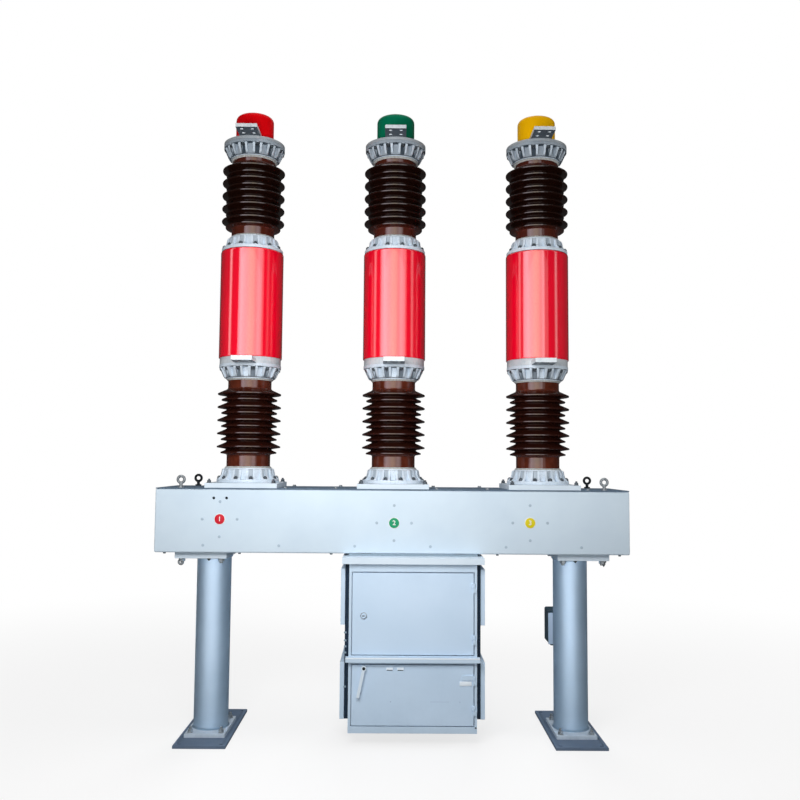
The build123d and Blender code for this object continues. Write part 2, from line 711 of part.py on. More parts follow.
# Junction box on two brackets behind the right column
with BuildPart() as junction_box:
    box_x = COLUMN_X + BOX_OFFSET
    pipe_back = COLUMN_Y + PIPE_DIAMETER / 2
    box_front = pipe_back + BOX_GAP
    with BuildSketch(Plane.XZ.offset(-box_front)):
        with Locations((box_x, BOX_BOTTOM + BOX_HEIGHT / 2)):
            RectangleRounded(BOX_WIDTH, BOX_HEIGHT, BOX_CORNER_RADIUS)
    extrude(amount=-BOX_DEPTH)
    for bracket_z in (
        BOX_BOTTOM + (BOX_HEIGHT - BRACKET_SPREAD) / 2,
        BOX_BOTTOM + (BOX_HEIGHT + BRACKET_SPREAD) / 2,
    ):
        block(
            COLUMN_X - BRACKET_WIDTH / 2,
            COLUMN_X + BRACKET_WIDTH / 2,
            pipe_back - BRACKET_BITE,
            box_front,
            bracket_z - BRACKET_HEIGHT / 2,
            bracket_z + BRACKET_HEIGHT / 2,
        )
    with Locations((COLUMN_X, COLUMN_Y, BOX_BOTTOM + BOX_HEIGHT / 2)):
        Cylinder(PIPE_DIAMETER / 2, BOX_HEIGHT, mode=Mode.SUBTRACT)
junction_box.part.label = "junction_box"
export_step(junction_box.part, "parts/junction_box.step")
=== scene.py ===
"""Looks of an outdoor gas insulated circuit breaker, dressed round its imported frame.

Three poles of brown porcelain and red housings stand on a pale blue box beam, on two pipe
columns, with a sheet-steel cabinet hung below. Places are in metres, +Z up, the front towards
-Y. The sizes and outlines of single pieces are in millimetres.
"""

import json
import logging
import math
from dataclasses import dataclass
from enum import Enum
from itertools import product
from typing import Iterable, Sequence

import bmesh
import bpy
from mathutils import Euler, Matrix, Vector

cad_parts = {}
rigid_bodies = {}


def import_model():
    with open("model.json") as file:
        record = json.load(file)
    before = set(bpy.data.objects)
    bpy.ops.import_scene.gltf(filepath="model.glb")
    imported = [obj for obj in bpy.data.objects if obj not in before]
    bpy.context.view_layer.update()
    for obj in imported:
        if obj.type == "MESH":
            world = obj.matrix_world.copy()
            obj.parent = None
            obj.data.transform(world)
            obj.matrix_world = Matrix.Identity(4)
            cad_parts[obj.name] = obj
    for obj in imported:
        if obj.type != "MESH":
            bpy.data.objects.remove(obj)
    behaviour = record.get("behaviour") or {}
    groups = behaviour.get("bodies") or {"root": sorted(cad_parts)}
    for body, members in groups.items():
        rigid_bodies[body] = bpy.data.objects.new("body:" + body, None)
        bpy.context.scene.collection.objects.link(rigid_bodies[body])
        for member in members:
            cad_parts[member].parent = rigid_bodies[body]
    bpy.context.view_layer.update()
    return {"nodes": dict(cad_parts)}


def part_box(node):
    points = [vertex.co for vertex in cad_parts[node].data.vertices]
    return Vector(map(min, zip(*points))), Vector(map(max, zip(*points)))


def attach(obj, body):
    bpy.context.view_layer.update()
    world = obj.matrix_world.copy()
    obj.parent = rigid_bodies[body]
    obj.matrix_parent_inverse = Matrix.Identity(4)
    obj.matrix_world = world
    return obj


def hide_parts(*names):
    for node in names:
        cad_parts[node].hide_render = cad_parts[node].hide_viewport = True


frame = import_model()

MM = 0.001
FRAME_BODY = "frame"
POLES = ("left", "middle", "right")
WHITE = "#FFFFFF"
# Corners of a kept node that lie closer than this are joined. Millimetres.
FACET_GAP = 0.02
# The turn in degrees from which a kept node's edge is rounded, and a smooth mesh's stays sharp.
SOFT_FROM = 38.0
CREASE_FROM = 34.0
# A circle of copies as small as this still turns each copy its own way. Millimetres.
ON_AXIS = 0.0001
# How far the head plates reach from the columns' axes, to the front and to the back. Millimetres.
HEAD_PLATE_REACH = 150.0
log = logging.getLogger("breaker")

Point = tuple[float, float]
Triple = tuple[float, float, float]
Stripe = tuple[float, float, str]
Tree, Node, Socket = bpy.types.NodeTree, bpy.types.Node, bpy.types.NodeSocket
Mesh, Object = bpy.types.Mesh, bpy.types.Object


class Facing(Enum):
    """Which way the top of an upright part is turned, as angles about X, Y and Z."""

    UP = (0.0, 0.0, 0.0)
    DOWN = (math.pi, 0.0, 0.0)
    FRONT = (math.pi / 2, 0.0, 0.0)
    BACK = (-math.pi / 2, 0.0, 0.0)

    def turn(self) -> Matrix:
        """Gives the turn as a matrix."""
        return Euler(self.value).to_matrix().to_4x4()


def at(x: float, y: float, z: float) -> Vector:
    """Gives a place in metres from its millimetres."""
    return Vector((x * MM, y * MM, z * MM))


def on_face(spot: Point, face: float) -> Vector:
    """Gives a place on a surface that faces the front.

    Args:
        spot: its X and Z, in millimetres.
        face: the surface's Y, in metres.

    Returns:
        The place, in metres.
    """
    return Vector((spot[0] * MM, face, spot[1] * MM))


def added(name: str, data: bpy.types.ID) -> Object:
    """Adds an object to the scene.

    Args:
        name: its name.
        data: the mesh, lamp, camera or text that it holds.

    Returns:
        The object.
    """
    made = bpy.data.objects.new(name, data)
    bpy.context.scene.collection.objects.link(made)
    return made


def baked(source: Object) -> Mesh:
    """Makes an object's modifiers, or its letters, real.

    Args:
        source: the object, which stays as it is.

    Returns:
        Its final mesh.
    """
    bpy.context.view_layer.update()
    final = source.evaluated_get(bpy.context.evaluated_depsgraph_get())
    return bpy.data.meshes.new_from_object(final)


def linear(tone: str) -> tuple[float, float, float, float]:
    """Turns an sRGB hex tone into a linear colour.

    Args:
        tone: the colour as "#RRGGBB".

    Returns:
        Red, green, blue and an alpha of 1.
    """
    parts = [int(tone[i:i + 2], 16) / 255 for i in (1, 3, 5)]
    bent = [c / 12.92 if c <= 0.04045 else ((c + 0.055) / 1.055) ** 2.4 for c in parts]
    return (*bent, 1.0)


def empty_tree(holder: bpy.types.ID) -> Tree:
    """Gives something its own nodes, without the ones it starts with.

    Args:
        holder: a material, the world or a lamp.

    Returns:
        Its node tree.
    """
    holder.use_nodes = True
    holder.node_tree.nodes.clear()
    return holder.node_tree


def add_node(
    tree: Tree, kind: str, inputs: dict | None = None, links: dict | None = None,
    **settings: object,
) -> Node:
    """Adds one node to a tree.

    Args:
        tree: the tree that gets the node.
        kind: the node's type name.
        inputs: values of its input sockets, by name or number.
        links: output sockets that feed its inputs, by name or number.
        **settings: the node's own properties.

    Returns:
        The new node.
    """
    made = tree.nodes.new(kind)
    for name, value in settings.items():
        setattr(made, name, value)
    for key, value in (inputs or {}).items():
        made.inputs[key].default_value = value
    for key, socket in (links or {}).items():
        tree.links.new(socket, made.inputs[key])
    return made


def maths(tree: Tree, operation: str, first: Socket, second: Socket) -> Socket:
    """Joins two values by one step of arithmetic."""
    links = {0: first, 1: second}
    return add_node(tree, "ShaderNodeMath", links=links, operation=operation).outputs[0]


def axis_of(tree: Tree, vector: Socket, axis: str) -> Socket:
    """Gives one axis, "X", "Y" or "Z", of a vector."""
    return add_node(tree, "ShaderNodeSeparateXYZ", links={0: vector}).outputs[axis]


def ranged(
    tree: Tree, value: Socket, start: Point, end: Point = (0.0, 1.0), **settings: object
) -> Socket:
    """Maps a value from one range to another and keeps it inside.

    Args:
        tree: the tree.
        value: the value.
        start: the range that it comes from.
        end: the range that it goes to.
        **settings: the node's own properties.

    Returns:
        The mapped value's socket.
    """
    limits = {"From Min": start[0], "From Max": start[1], "To Min": end[0], "To Max": end[1]}
    return add_node(tree, "ShaderNodeMapRange", limits, {"Value": value}, **settings).outputs[0]


def cloudy(tree: Tree, coords: Socket, size_mm: float, stretch: float = 1.0) -> Socket:
    """Makes a soft cloud pattern.

    Args:
        tree: the material's tree.
        coords: the coordinates that the pattern reads, in metres.
        size_mm: how far one cloud reaches.
        stretch: how many times longer a cloud is along Z, as a run mark is.

    Returns:
        The socket with the pattern, about 0 to 1.
    """
    placed = add_node(
        tree, "ShaderNodeMapping", {"Scale": (1.0, 1.0, 1.0 / stretch)}, {"Vector": coords}
    )
    look = {"Scale": 1.0 / (size_mm * MM), "Detail": 3.0, "Roughness": 0.55}
    return add_node(tree, "ShaderNodeTexNoise", look, {"Vector": placed.outputs[0]}).outputs[0]


EVEN = (0.0, 1.0)


def mixed(
    tree: Tree, share: Socket, low: tuple | Socket, high: tuple | Socket,
    spread: Point = (0.35, 0.65),
) -> Socket:
    """Blends two colours by a pattern.

    Args:
        tree: the material's tree.
        share: the pattern.
        low: the colour, or its socket, where the pattern is low.
        high: the colour, or its socket, where the pattern is high.
        spread: the pattern's values at which the blend starts and ends.

    Returns:
        The blended colour's socket.
    """
    inputs, links = {}, {0: ranged(tree, share, spread)}
    for number, colour in ((6, low), (7, high)):
        if isinstance(colour, Socket):
            links[number] = colour
        else:
            inputs[number] = colour
    return add_node(tree, "ShaderNodeMix", inputs, links, data_type="RGBA").outputs[2]


def uneven_gloss(tree: Tree, surface: Node, pattern: Socket, low: float, high: float) -> None:
    """Lets the gloss of a surface wander with a pattern.

    Args:
        tree: the material's tree.
        surface: its principled shader.
        pattern: the pattern, about 0 to 1.
        low: the roughness where the pattern is 0.
        high: the roughness where it is 1.
    """
    tree.links.new(ranged(tree, pattern, EVEN, (low, high)), surface.inputs["Roughness"])


def relief(tree: Tree, surface: Node, layers: Sequence[tuple[Socket, float, float]]) -> None:
    """Adds fine relief to a surface.

    Args:
        tree: the material's tree.
        surface: its principled shader.
        layers: each layer's pattern, its strength and its height in millimetres.
    """
    normal = None
    for pattern, strength, height_mm in layers:
        links = {"Height": pattern, **({"Normal": normal} if normal else {})}
        height = {"Strength": strength, "Distance": height_mm * MM}
        normal = add_node(tree, "ShaderNodeBump", height, links).outputs[0]
    tree.links.new(normal, surface.inputs["Normal"])


@dataclass(frozen=True)
class Finish:
    """A real surface, which builds its material once and hands it out."""

    name: str
    tone: str
    roughness: float

    def material(self) -> bpy.types.Material:
        """Gives the finish's material, built at the first call.

        Returns:
            The material.
        """
        made = bpy.data.materials.get(self.name)
        if made is None:
            made = bpy.data.materials.new(self.name)
            made.diffuse_color = linear(self.tone)
            tree = empty_tree(made)
            surface = add_node(tree, "ShaderNodeBsdfPrincipled", {"Roughness": self.roughness})
            add_node(tree, "ShaderNodeOutputMaterial", links={"Surface": surface.outputs[0]})
            coords = add_node(tree, "ShaderNodeTexCoord").outputs["Object"]
            tree.links.new(self.paint(tree, surface, coords), surface.inputs["Base Color"])
        return made

    def paint(self, tree: Tree, surface: Node, coords: Socket) -> Socket:
        """Adds the nodes that make this finish to a new material.

        Args:
            tree: the material's tree.
            surface: its principled shader.
            coords: the object's own coordinates, in metres.

        Returns:
            The socket with the finish's colour.
        """
        raise NotImplementedError


@dataclass(frozen=True)
class Enamel(Finish):
    """Steel sprayed with enamel: an even satin film with faint clouds, run marks, and darkening low
    down that is dust and, on some parts, painted shade.
    """

    shade: str = "#A9BCCB"
    cloud_mm: float = 240.0
    run_mm: float = 40.0
    run_stretch: float = 9.0
    gloss_coat: float = 0.0
    gloss_mm: float = 60.0
    wave_mm: float = 180.0
    wave_height_mm: float = 0.35
    peel_mm: float = 7.0
    peel_height_mm: float = 0.05
    dust_top_mm: float = 420.0
    dust: float = 0.22
    dust_tone: str = "#8D8F88"
    dust_mm: float = 45.0
    gloss_spread: float = 0.06
    specular: float = 0.5

    def paint(self, tree: Tree, surface: Node, coords: Socket) -> Socket:
        """Adds clouds, run marks, dust and painted shade towards the ground, and the sheet's gentle
        waves.

        Args:
            tree: the material's tree.
            surface: its principled shader.
            coords: the object's own coordinates, in metres.

        Returns:
            The socket with the finish's colour.
        """
        shade, clouds = linear(self.shade), cloudy(tree, coords, self.cloud_mm)
        body = mixed(tree, clouds, shade, linear(self.tone), (0.2, 0.7))
        # Rain leaves run marks that are only a breath darker than the paint.
        runs = cloudy(tree, coords, self.run_mm, self.run_stretch)
        marked = mixed(tree, runs, shade, body, (-0.5, 0.42))
        # Darker towards the ground: dust, and for the cabinet and doors painted shade where the light
        # falls off lower down.
        height, top = axis_of(tree, coords, "Z"), self.dust_top_mm * MM
        low_down = ranged(tree, height, (0.0, top), (self.dust, 0.0))
        dust_and_shade_share = maths(tree, "MULTIPLY", low_down, cloudy(tree, coords, self.dust_mm))
        gloss = (self.roughness - self.gloss_spread, self.roughness + self.gloss_spread)
        uneven_gloss(tree, surface, cloudy(tree, coords, self.gloss_mm), *gloss)
        waves = (cloudy(tree, coords, self.wave_mm), 0.35, self.wave_height_mm)
        # Real orange peel is about 1 mm across: it is drawn larger so that it shows at all.
        peel = (cloudy(tree, coords, self.peel_mm), 0.12, self.peel_height_mm)
        relief(tree, surface, (waves, peel))
        surface.inputs["Specular IOR Level"].default_value = self.specular
        surface.inputs["Coat Weight"].default_value = self.gloss_coat
        surface.inputs["Coat Roughness"].default_value = 0.04
        return mixed(tree, dust_and_shade_share, marked, linear(self.dust_tone), EVEN)


@dataclass(frozen=True)
class GlazedPorcelain(Finish):
    """Electrical porcelain under a brown glaze, with painted shade that darkens the sheds."""

    pooled_tone: str = "#1F0D08"
    mottle_tone: str = "#4A1D0F"
    mottle_mm: float = 55.0
    ripple_mm: float = 30.0
    ripple_height_mm: float = 0.2
    specular: float = 0.45

    def paint(self, tree: Tree, surface: Node, coords: Socket) -> Socket:
        """Adds the glaze's mottle, the painted shade of its sheds and its glassy skin.

        Args:
            tree: the material's tree.
            surface: its principled shader.
            coords: the object's own coordinates, in metres.

        Returns:
            The socket with the finish's colour.
        """
        mottle = cloudy(tree, coords, self.mottle_mm)
        plain = mixed(tree, mottle, linear(self.mottle_tone), linear(self.tone))
        # Painted shade: the sheds, marked in the mesh, turn near black.
        sheds = add_node(tree, "ShaderNodeAttribute", attribute_name="shed_shade").outputs["Fac"]
        ripple = cloudy(tree, coords, self.ripple_mm)
        relief(tree, surface, ((ripple, 0.25, self.ripple_height_mm),))
        surface.inputs["Specular IOR Level"].default_value = self.specular
        return mixed(tree, sheds, plain, linear(self.pooled_tone), EVEN)


@dataclass(frozen=True)
class CastAluminium(Finish):
    """Sand-cast aluminium: a pale, slightly pitted grey with a soft metallic glint."""

    oxide: str = "#D8E6F3"
    oxide_mm: float = 70.0
    pit: str = "#C4D3E0"
    grain_mm: float = 6.0
    grain_height_mm: float = 0.2
    metallic: float = 0.15
    soot: str = "#414D58"
    ring_grime: float = 0.0
    pad_start: Point = (-0.200, -0.185)

    def paint(self, tree: Tree, surface: Node, coords: Socket) -> Socket:
        """Adds the sand grain, oxide clouds, and painted shade in pockets, on undersides and behind
        pads.

        Args:
            tree: the material's tree.
            surface: its principled shader.
            coords: the object's own coordinates, in metres.

        Returns:
            The socket with the finish's colour.
        """
        clouds = cloudy(tree, coords, self.oxide_mm)
        oxide = mixed(tree, clouds, linear(self.oxide), linear(self.tone))
        pits, soot = cloudy(tree, coords, self.grain_mm), linear(self.soot)
        body = mixed(tree, pits, linear(self.pit), oxide, (0.25, 0.5))
        # Painted shade: the pockets between webs and the hanging rims, marked in the mesh, turn near
        # black.
        pockets = add_node(tree, "ShaderNodeAttribute", attribute_name="pocket_shade").outputs["Fac"]
        shaded_body = mixed(tree, pockets, body, soot, EVEN)
        if self.ring_grime:
            # Painted shade darkens the ring behind the front of the pads.
            ring = ranged(tree, axis_of(tree, coords, "Y"), self.pad_start, (0.0, self.ring_grime))
            shaded_body = mixed(tree, ring, shaded_body, soot, EVEN)
        facing = add_node(tree, "ShaderNodeTexCoord").outputs["Normal"]
        surface.inputs["Metallic"].default_value = self.metallic
        uneven_gloss(tree, surface, pits, self.roughness - 0.1, self.roughness + 0.1)
        relief(tree, surface, ((pits, 0.3, self.grain_height_mm),))
        # Faces that look down turn dark: painted shade.
        return mixed(tree, axis_of(tree, facing, "Z"), soot, shaded_body, (-0.95, -0.35))


@dataclass(frozen=True)
class ZincPlate(Finish):
    """Galvanised steel fasteners: dull zinc with small bright and dark spangles."""

    dark: str = "#8B9298"
    metallic: float = 0.85
    spangle_mm: float = 9.0
    gloss_mm: float = 12.0

    def paint(self, tree: Tree, surface: Node, coords: Socket) -> Socket:
        """Adds the zinc's spangle in tone and gloss.

        Args:
            tree: the material's tree.
            surface: its principled shader.
            coords: the object's own coordinates, in metres.

        Returns:
            The socket with the finish's colour.
        """
        size = {"Scale": 1.0 / (self.spangle_mm * MM)}
        spangle = add_node(tree, "ShaderNodeTexVoronoi", size, {"Vector": coords})
        gloss = (self.roughness - 0.08, self.roughness + 0.15)
        uneven_gloss(tree, surface, cloudy(tree, coords, self.gloss_mm), *gloss)
        surface.inputs["Metallic"].default_value = self.metallic
        share = spangle.outputs["Distance"]
        return mixed(tree, share, linear(self.dark), linear(self.tone), (0.1, 0.6))


@dataclass(frozen=True)
class Moulded(Finish):
    """A matt filled material, such as cement or rubber, with a fine even grain."""

    dark: str = "#1B1E20"
    grain_mm: float = 5.0

    def paint(self, tree: Tree, surface: Node, coords: Socket) -> Socket:
        """Adds the grain in tone and relief.

        Args:
            tree: the material's tree.
            surface: its principled shader.
            coords: the object's own coordinates, in metres.

        Returns:
            The socket with the finish's colour.
        """
        grain = cloudy(tree, coords, self.grain_mm)
        relief(tree, surface, ((grain, 0.4, 0.2),))
        return mixed(tree, grain, linear(self.dark), linear(self.tone))


BEAM_PAINT = Enamel("sprayed_enamel_beam", "#D6E6F2", 0.42, shade="#CDDEEC")
# The cabinet and doors turn bluish grey towards the ground: painted shade where the light falls off
# lower down.
LOW_PAINTED_SHADE = {"dust": 0.5, "dust_top_mm": 930.0, "dust_tone": "#86A3BC", "dust_mm": 120.0}
CABINET_PAINT = Enamel("sprayed_enamel_cabinet", "#D3E6F7", 0.40, shade="#C6DAED", **LOW_PAINTED_SHADE)
DOOR_PAINT = Enamel(
    "sprayed_enamel_doors", "#D5E9FD", 0.38, shade="#C8DEF3", wave_height_mm=0.6, **LOW_PAINTED_SHADE
)
# The columns get a darker, bluer copy of the beam's enamel: painted shade.
SHADED_COLUMN_PAINT = Enamel("shaded_enamel_columns", "#B0CEE8", 0.52, shade="#A4C3DE", dust=0.15)
PLATE_PAINT = Enamel("sprayed_enamel_plates", "#DEEBF6", 0.42, shade="#D1E0ED")
FOOT_PAINT = Enamel(
    "sprayed_enamel_feet", "#DEEBF6", 0.45, shade="#D1E0ED", dust_top_mm=400.0, dust=0.8,
    dust_tone="#74849A", dust_mm=70.0,
)
BOX_PAINT = Enamel("sprayed_enamel_box", "#B7CCE4", 0.42, shade="#AAC0DA")
# The junction box's shell and lid are dark: painted shade for the box behind the column.
SHADED_BOX_PAINT = Enamel("shaded_enamel_box", "#2F4655", 0.45, shade="#283D4B")
# Mid grey of painted shade, for the sheet in the shaded gap under the beam and for the clips.
SHADE_GREY_PAINT = Enamel("shaded_enamel_skirt", "#93A5B3", 0.5, shade="#8799A7")
# The beam's screw heads are a darker copy of its enamel: painted shade.
SHADED_SCREW_PAINT = Enamel("shaded_screw_heads", "#B4C5D3", 0.5, shade="#A8BAC9")
# Near white: a painted highlight on the lit tops of the ledge, the hinge leaf and the vent hoods.
HIGHLIGHT_WHITE_PAINT = Enamel("white_highlight_enamel", "#ECF5FD", 0.4, shade="#E2EDF7", dust=0.0)
SLATE_PAINT = Enamel("slate_primer", "#5F738E", 0.62, shade="#52657D", cloud_mm=160.0, dust=0.2)
# The beam's top cover is dark slate: painted shade on the top, seen at a grazing angle.
SHADED_COVER_PAINT = Enamel("shaded_slate_enamel", "#64788C", 0.5, shade="#56697C", dust=0.0)
RED_ENAMEL = Enamel(
    "gloss_red_enamel", "#F6052B", 0.11, shade="#EA0427", gloss_coat=1.0, wave_height_mm=0.15,
    wave_mm=260.0, dust=0.0, gloss_spread=0.02,
)
CAP_PAINT = {
    pole: Enamel(f"satin_{tone}_enamel", face, 0.3, shade=shade, dust=0.0, specular=0.1)
    for pole, tone, face, shade in (
        ("left", "red", "#F20410", "#E0000C"),
        ("middle", "green", "#067A58", "#046C4C"),
        ("right", "yellow", "#FFC206", "#F4B404"),
    )
}
DISC_PAINT = {
    pole: Enamel(f"{tone}_disc_enamel", face, 0.4, shade=shade, dust=0.0)
    for pole, tone, face, shade in (
        ("left", "red", "#D42035", "#C4182C"),
        ("middle", "green", "#1A9A6C", "#128A5E"),
        ("right", "yellow", "#E2D21E", "#D2C212"),
    )
}
CAP_SLOTS = {"left": "red_cap", "middle": "green_cap", "right": "yellow_cap"}
# The upper porcelain's glaze is a darker copy of the lower's: painted shade.
PORCELAIN = {
    "lower": GlazedPorcelain("red_brown_glaze", "#5E2A1B", 0.08, pooled_tone="#2C120C"),
    "upper": GlazedPorcelain("shaded_brown_glaze", "#4E211A", 0.08),
}
CASTING = CastAluminium("sand_cast_aluminium", "#E6F2FE", 0.42)
# The terminals darken behind their pads: painted shade, heavier at the top.
TERMINAL = {
    level: CastAluminium(
        f"milled_aluminium_{level}", "#EEF4F8", 0.36, oxide="#DEE7EE", pit="#CED9E2",
        grain_mm=14.0, grain_height_mm=0.06, ring_grime=pad_ring_shade,
    )
    for level, pad_ring_shade in (("lower", 0.2), ("top", 0.5))
}
ZINC = ZincPlate("galvanised_steel", "#C4CBD0", 0.42)
# Dull dark zinc; in the flange pockets and under the beam its darkness is partly painted shade.
DULL_ZINC = ZincPlate("weathered_galvanised_steel", "#7C858D", 0.5, dark="#5A636B")
# Dark steel; on the two bolts under the head plates it is painted shade.
DARK_STEEL_AND_SHADE = ZincPlate("dark_steel_and_shade", "#2A2F34", 0.5, dark="#1A1E22", metallic=0.6)
CEMENT = Moulded("portland_cement", "#C6C9C8", 0.85, dark="#A3A7A6", grain_mm=8.0)
# Real rubber on the gland; on the strips beside the cabinet it is painted shade of the rebates.
DARK_RUBBER_AND_SHADE = Moulded("dark_rubber_and_shade", "#24364A", 0.75, dark="#16222F")
HOLLOW = Moulded("shadowed_hollow", "#1C242C", 0.9, dark="#12181E")
WHITE_PRINT = Moulded("white_screen_ink", "#F1F0EC", 0.5, dark="#E3E1DC", grain_mm=12.0)


def rounded(points: Sequence[Triple], steps: int = 5) -> list[Point]:
    """Rounds the corners of an open outline.

    Args:
        points: corners as (across, up, corner radius), the two ends with a radius of 0.
        steps: short lines in each rounded corner.

    Returns:
        The outline's points as (across, up).
    """
    outline = []
    for index, (across, up, radius) in enumerate(points):
        corner = Vector((across, up))
        if radius <= 0:
            outline.append((across, up))
            continue
        back = Vector(points[index - 1][:2]) - corner
        ahead = Vector(points[index + 1][:2]) - corner
        half = back.angle(ahead) / 2
        # A corner takes less than half of each of its sides, so that two never meet.
        reach = min(radius / math.tan(half), back.length * 0.49, ahead.length * 0.49)
        start = corner + back.normalized() * reach
        end = corner + ahead.normalized() * reach
        for step in range(steps + 1):
            share = step / steps
            outline.append(tuple(start.lerp(corner, share).lerp(corner.lerp(end, share), share)))
    return outline


def place_piece(
    mesh: Mesh, name: str, finish: Finish, slot: str, body: str = FRAME_BODY,
    replaces: Sequence[str] = (),
) -> None:
    """Puts a finished mesh in the scene as one piece.

    Args:
        mesh: the mesh, already in place.
        name: the piece's name.
        finish: what it is made of.
        slot: the record's material slot that it belongs to; not used.
        body: the body that carries it.
        replaces: the frame's nodes that it stands for.
    """
    mesh.name = name
    mesh.materials.clear()
    mesh.materials.append(finish.material())
    piece = added(name, mesh)
    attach(piece, body)
    if replaces:
        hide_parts(*replaces)
    log.info("%s: %d faces on %s", name, len(mesh.polygons), body)


class Shape:
    """Closed shells gathered in one mesh: corners and centres in metres, sizes in millimetres."""

    def __init__(self) -> None:
        """Starts an empty shape."""
        self.shells = bmesh.new()

    def soften_edges(self, edges: Iterable[bmesh.types.BMEdge], radius: float, segments: int) -> None:
        """Rounds edges of the shape.

        Args:
            edges: the edges.
            radius: their radius.
            segments: flat faces across each edge.
        """
        bmesh.ops.bevel(
            self.shells, geom=list(edges), offset=radius * MM, segments=segments, profile=0.5,
            affect="EDGES",
        )

    def block(
        self, low: Iterable[float], high: Iterable[float], radius: float = 0.0, segments: int = 2
    ) -> "Shape":
        """Adds a block with softened edges.

        Args:
            low: its lowest corner.
            high: its highest corner.
            radius: the radius of its edges.
            segments: flat faces across each edge.

        Returns:
            The shape itself.
        """
        low, high = Vector(low), Vector(high)
        place = Matrix.Translation((low + high) / 2) @ Matrix.Diagonal((*(high - low), 1.0))
        made = bmesh.ops.create_cube(self.shells, size=1.0, matrix=place)
        if radius > 0:
            edges = {edge for corner in made["verts"] for edge in corner.link_edges}
            self.soften_edges(edges, radius, segments)
        return self

    def panel(
        self, across: Point, up: Point, face: float, proud: float, radius: float = 0.0
    ) -> "Shape":
        """Adds a flat block that stands on a surface facing the front.

        Args:
            across: its two ends along X, in millimetres.
            up: its two ends along Z, in millimetres.
            face: the surface's Y, in metres.
            proud: how far it stands out.
            radius: the radius of its edges.

        Returns:
            The shape itself.
        """
        low = on_face((across[0], up[0]), face - proud * MM)
        return self.block(low, on_face((across[1], up[1]), face), radius)

    def lathe(
        self, outline: Iterable[Point], centre: Iterable[float] = (0.0, 0.0, 0.0),
        segments: int = 96, turn: Facing = Facing.UP, ring: bool = False,
    ) -> "Shape":
        """Adds a shell turned about an axis.

        Args:
            outline: (radius, height) points, from axis to axis, or round a ring's section.
            centre: where the axis starts.
            segments: flat faces round the axis.
            turn: where the axis points.
            ring: whether the outline closes on itself.

        Returns:
            The shape itself.
        """
        place = Matrix.Translation(Vector(centre)) @ turn.turn()
        angles = [2 * math.pi * i / segments for i in range(segments)]
        rows = []
        for radius, height in outline:
            reach, level = radius * MM, height * MM
            rows.append([
                self.shells.verts.new(
                    place @ Vector((reach * math.cos(a), reach * math.sin(a), level))
                )
                for a in (angles if radius else angles[:1])
            ])
        pairs = list(zip(rows, rows[1:]))
        if ring:
            pairs.append((rows[-1], rows[0]))
        faces = []
        for lower, upper in pairs:
            for i in range(segments):
                j = (i + 1) % segments
                if len(lower) == 1:
                    faces.append((lower[0], upper[j], upper[i]))
                elif len(upper) == 1:
                    faces.append((lower[i], lower[j], upper[0]))
                else:
                    faces.append((lower[i], lower[j], upper[j], upper[i]))
        made = [self.shells.faces.new(corners) for corners in faces]
        bmesh.ops.recalc_face_normals(self.shells, faces=made)
        return self

    def disc(
        self, radius: float, height: float, centre: Iterable[float], turn: Facing = Facing.UP,
        edge: float = 0.8, segments: int = 40,
    ) -> "Shape":
        """Adds a flat round button that stands on its centre.

        Args:
            radius: its radius.
            height: how far it stands up.
            centre: the middle of its foot.
            turn: where its top points.
            edge: the radius of its upper edge.
            segments: flat faces round it.

        Returns:
            The shape itself.
        """
        corners = [(0, 0, 0), (radius, 0, 0), (radius, height, edge), (0, height, 0)]
        return self.lathe(rounded(corners, 2), centre, segments, turn)

    def torus(self, major: float, minor: float, centre: Iterable[float]) -> "Shape":
        """Adds a forged ring of round section, its axis towards the front.

        Args:
            major: the radius of its middle line.
            minor: the radius of its section.
            centre: its centre.

        Returns:
            The shape itself.
        """
        sides = 12
        angles = [2 * math.pi * i / sides for i in range(sides)]
        section = [(major + minor * math.cos(a), minor * math.sin(a)) for a in angles]
        return self.lathe(section, centre, 36, Facing.FRONT, ring=True)

    def prism(
        self, outline: Sequence[Point], thickness: float, place: Matrix, radius: float = 0.0
    ) -> "Shape":
        """Adds a plate with any outline.

        Args:
            outline: its corners in its own plane.
            thickness: how thick it is, half on each side of its plane.
            place: puts its plane, which is XY with its normal Z, in place.
            radius: the radius of its edges.

        Returns:
            The shape itself.
        """
        lower, upper = (
            [self.shells.verts.new(place @ at(x, y, z)) for x, y in outline]
            for z in (-thickness / 2, thickness / 2)
        )
        made = [self.shells.faces.new(lower[::-1]), self.shells.faces.new(upper)]
        for i in range(len(outline)):
            j = (i + 1) % len(outline)
            made.append(self.shells.faces.new((lower[i], lower[j], upper[j], upper[i])))
        bmesh.ops.recalc_face_normals(self.shells, faces=made)
        if radius > 0:
            self.soften_edges({edge for face in made for edge in face.edges}, radius, 2)
        return self

    def copy_of(self, mesh: Mesh, place: Matrix) -> "Shape":
        """Adds a copy of another mesh.

        Args:
            mesh: the mesh to copy.
            place: the turn and shift that it gets.

        Returns:
            The shape itself.
        """
        before = len(self.shells.verts)
        self.shells.from_mesh(mesh)
        self.shells.verts.ensure_lookup_table()
        bmesh.ops.transform(self.shells, matrix=place, verts=self.shells.verts[before:])
        return self

    def mesh(self, crease: float = CREASE_FROM) -> Mesh:
        """Turns the shape into a mesh that is smooth apart from its creases.

        Args:
            crease: the angle in degrees from which an edge stays sharp.

        Returns:
            The mesh.
        """
        made = bpy.data.meshes.new("shape")
        self.shells.to_mesh(made)
        self.shells.free()
        made.shade_smooth()
        made.set_sharp_from_angle(angle=math.radians(crease))
        return made

    def place(
        self, name: str, finish: Finish, slot: str, body: str = FRAME_BODY,
        replaces: Sequence[str] = (), crease: float = CREASE_FROM,
    ) -> None:
        """Puts the shape in the scene as one piece, as place_piece and mesh say."""
        place_piece(self.mesh(crease), name, finish, slot, body, replaces)


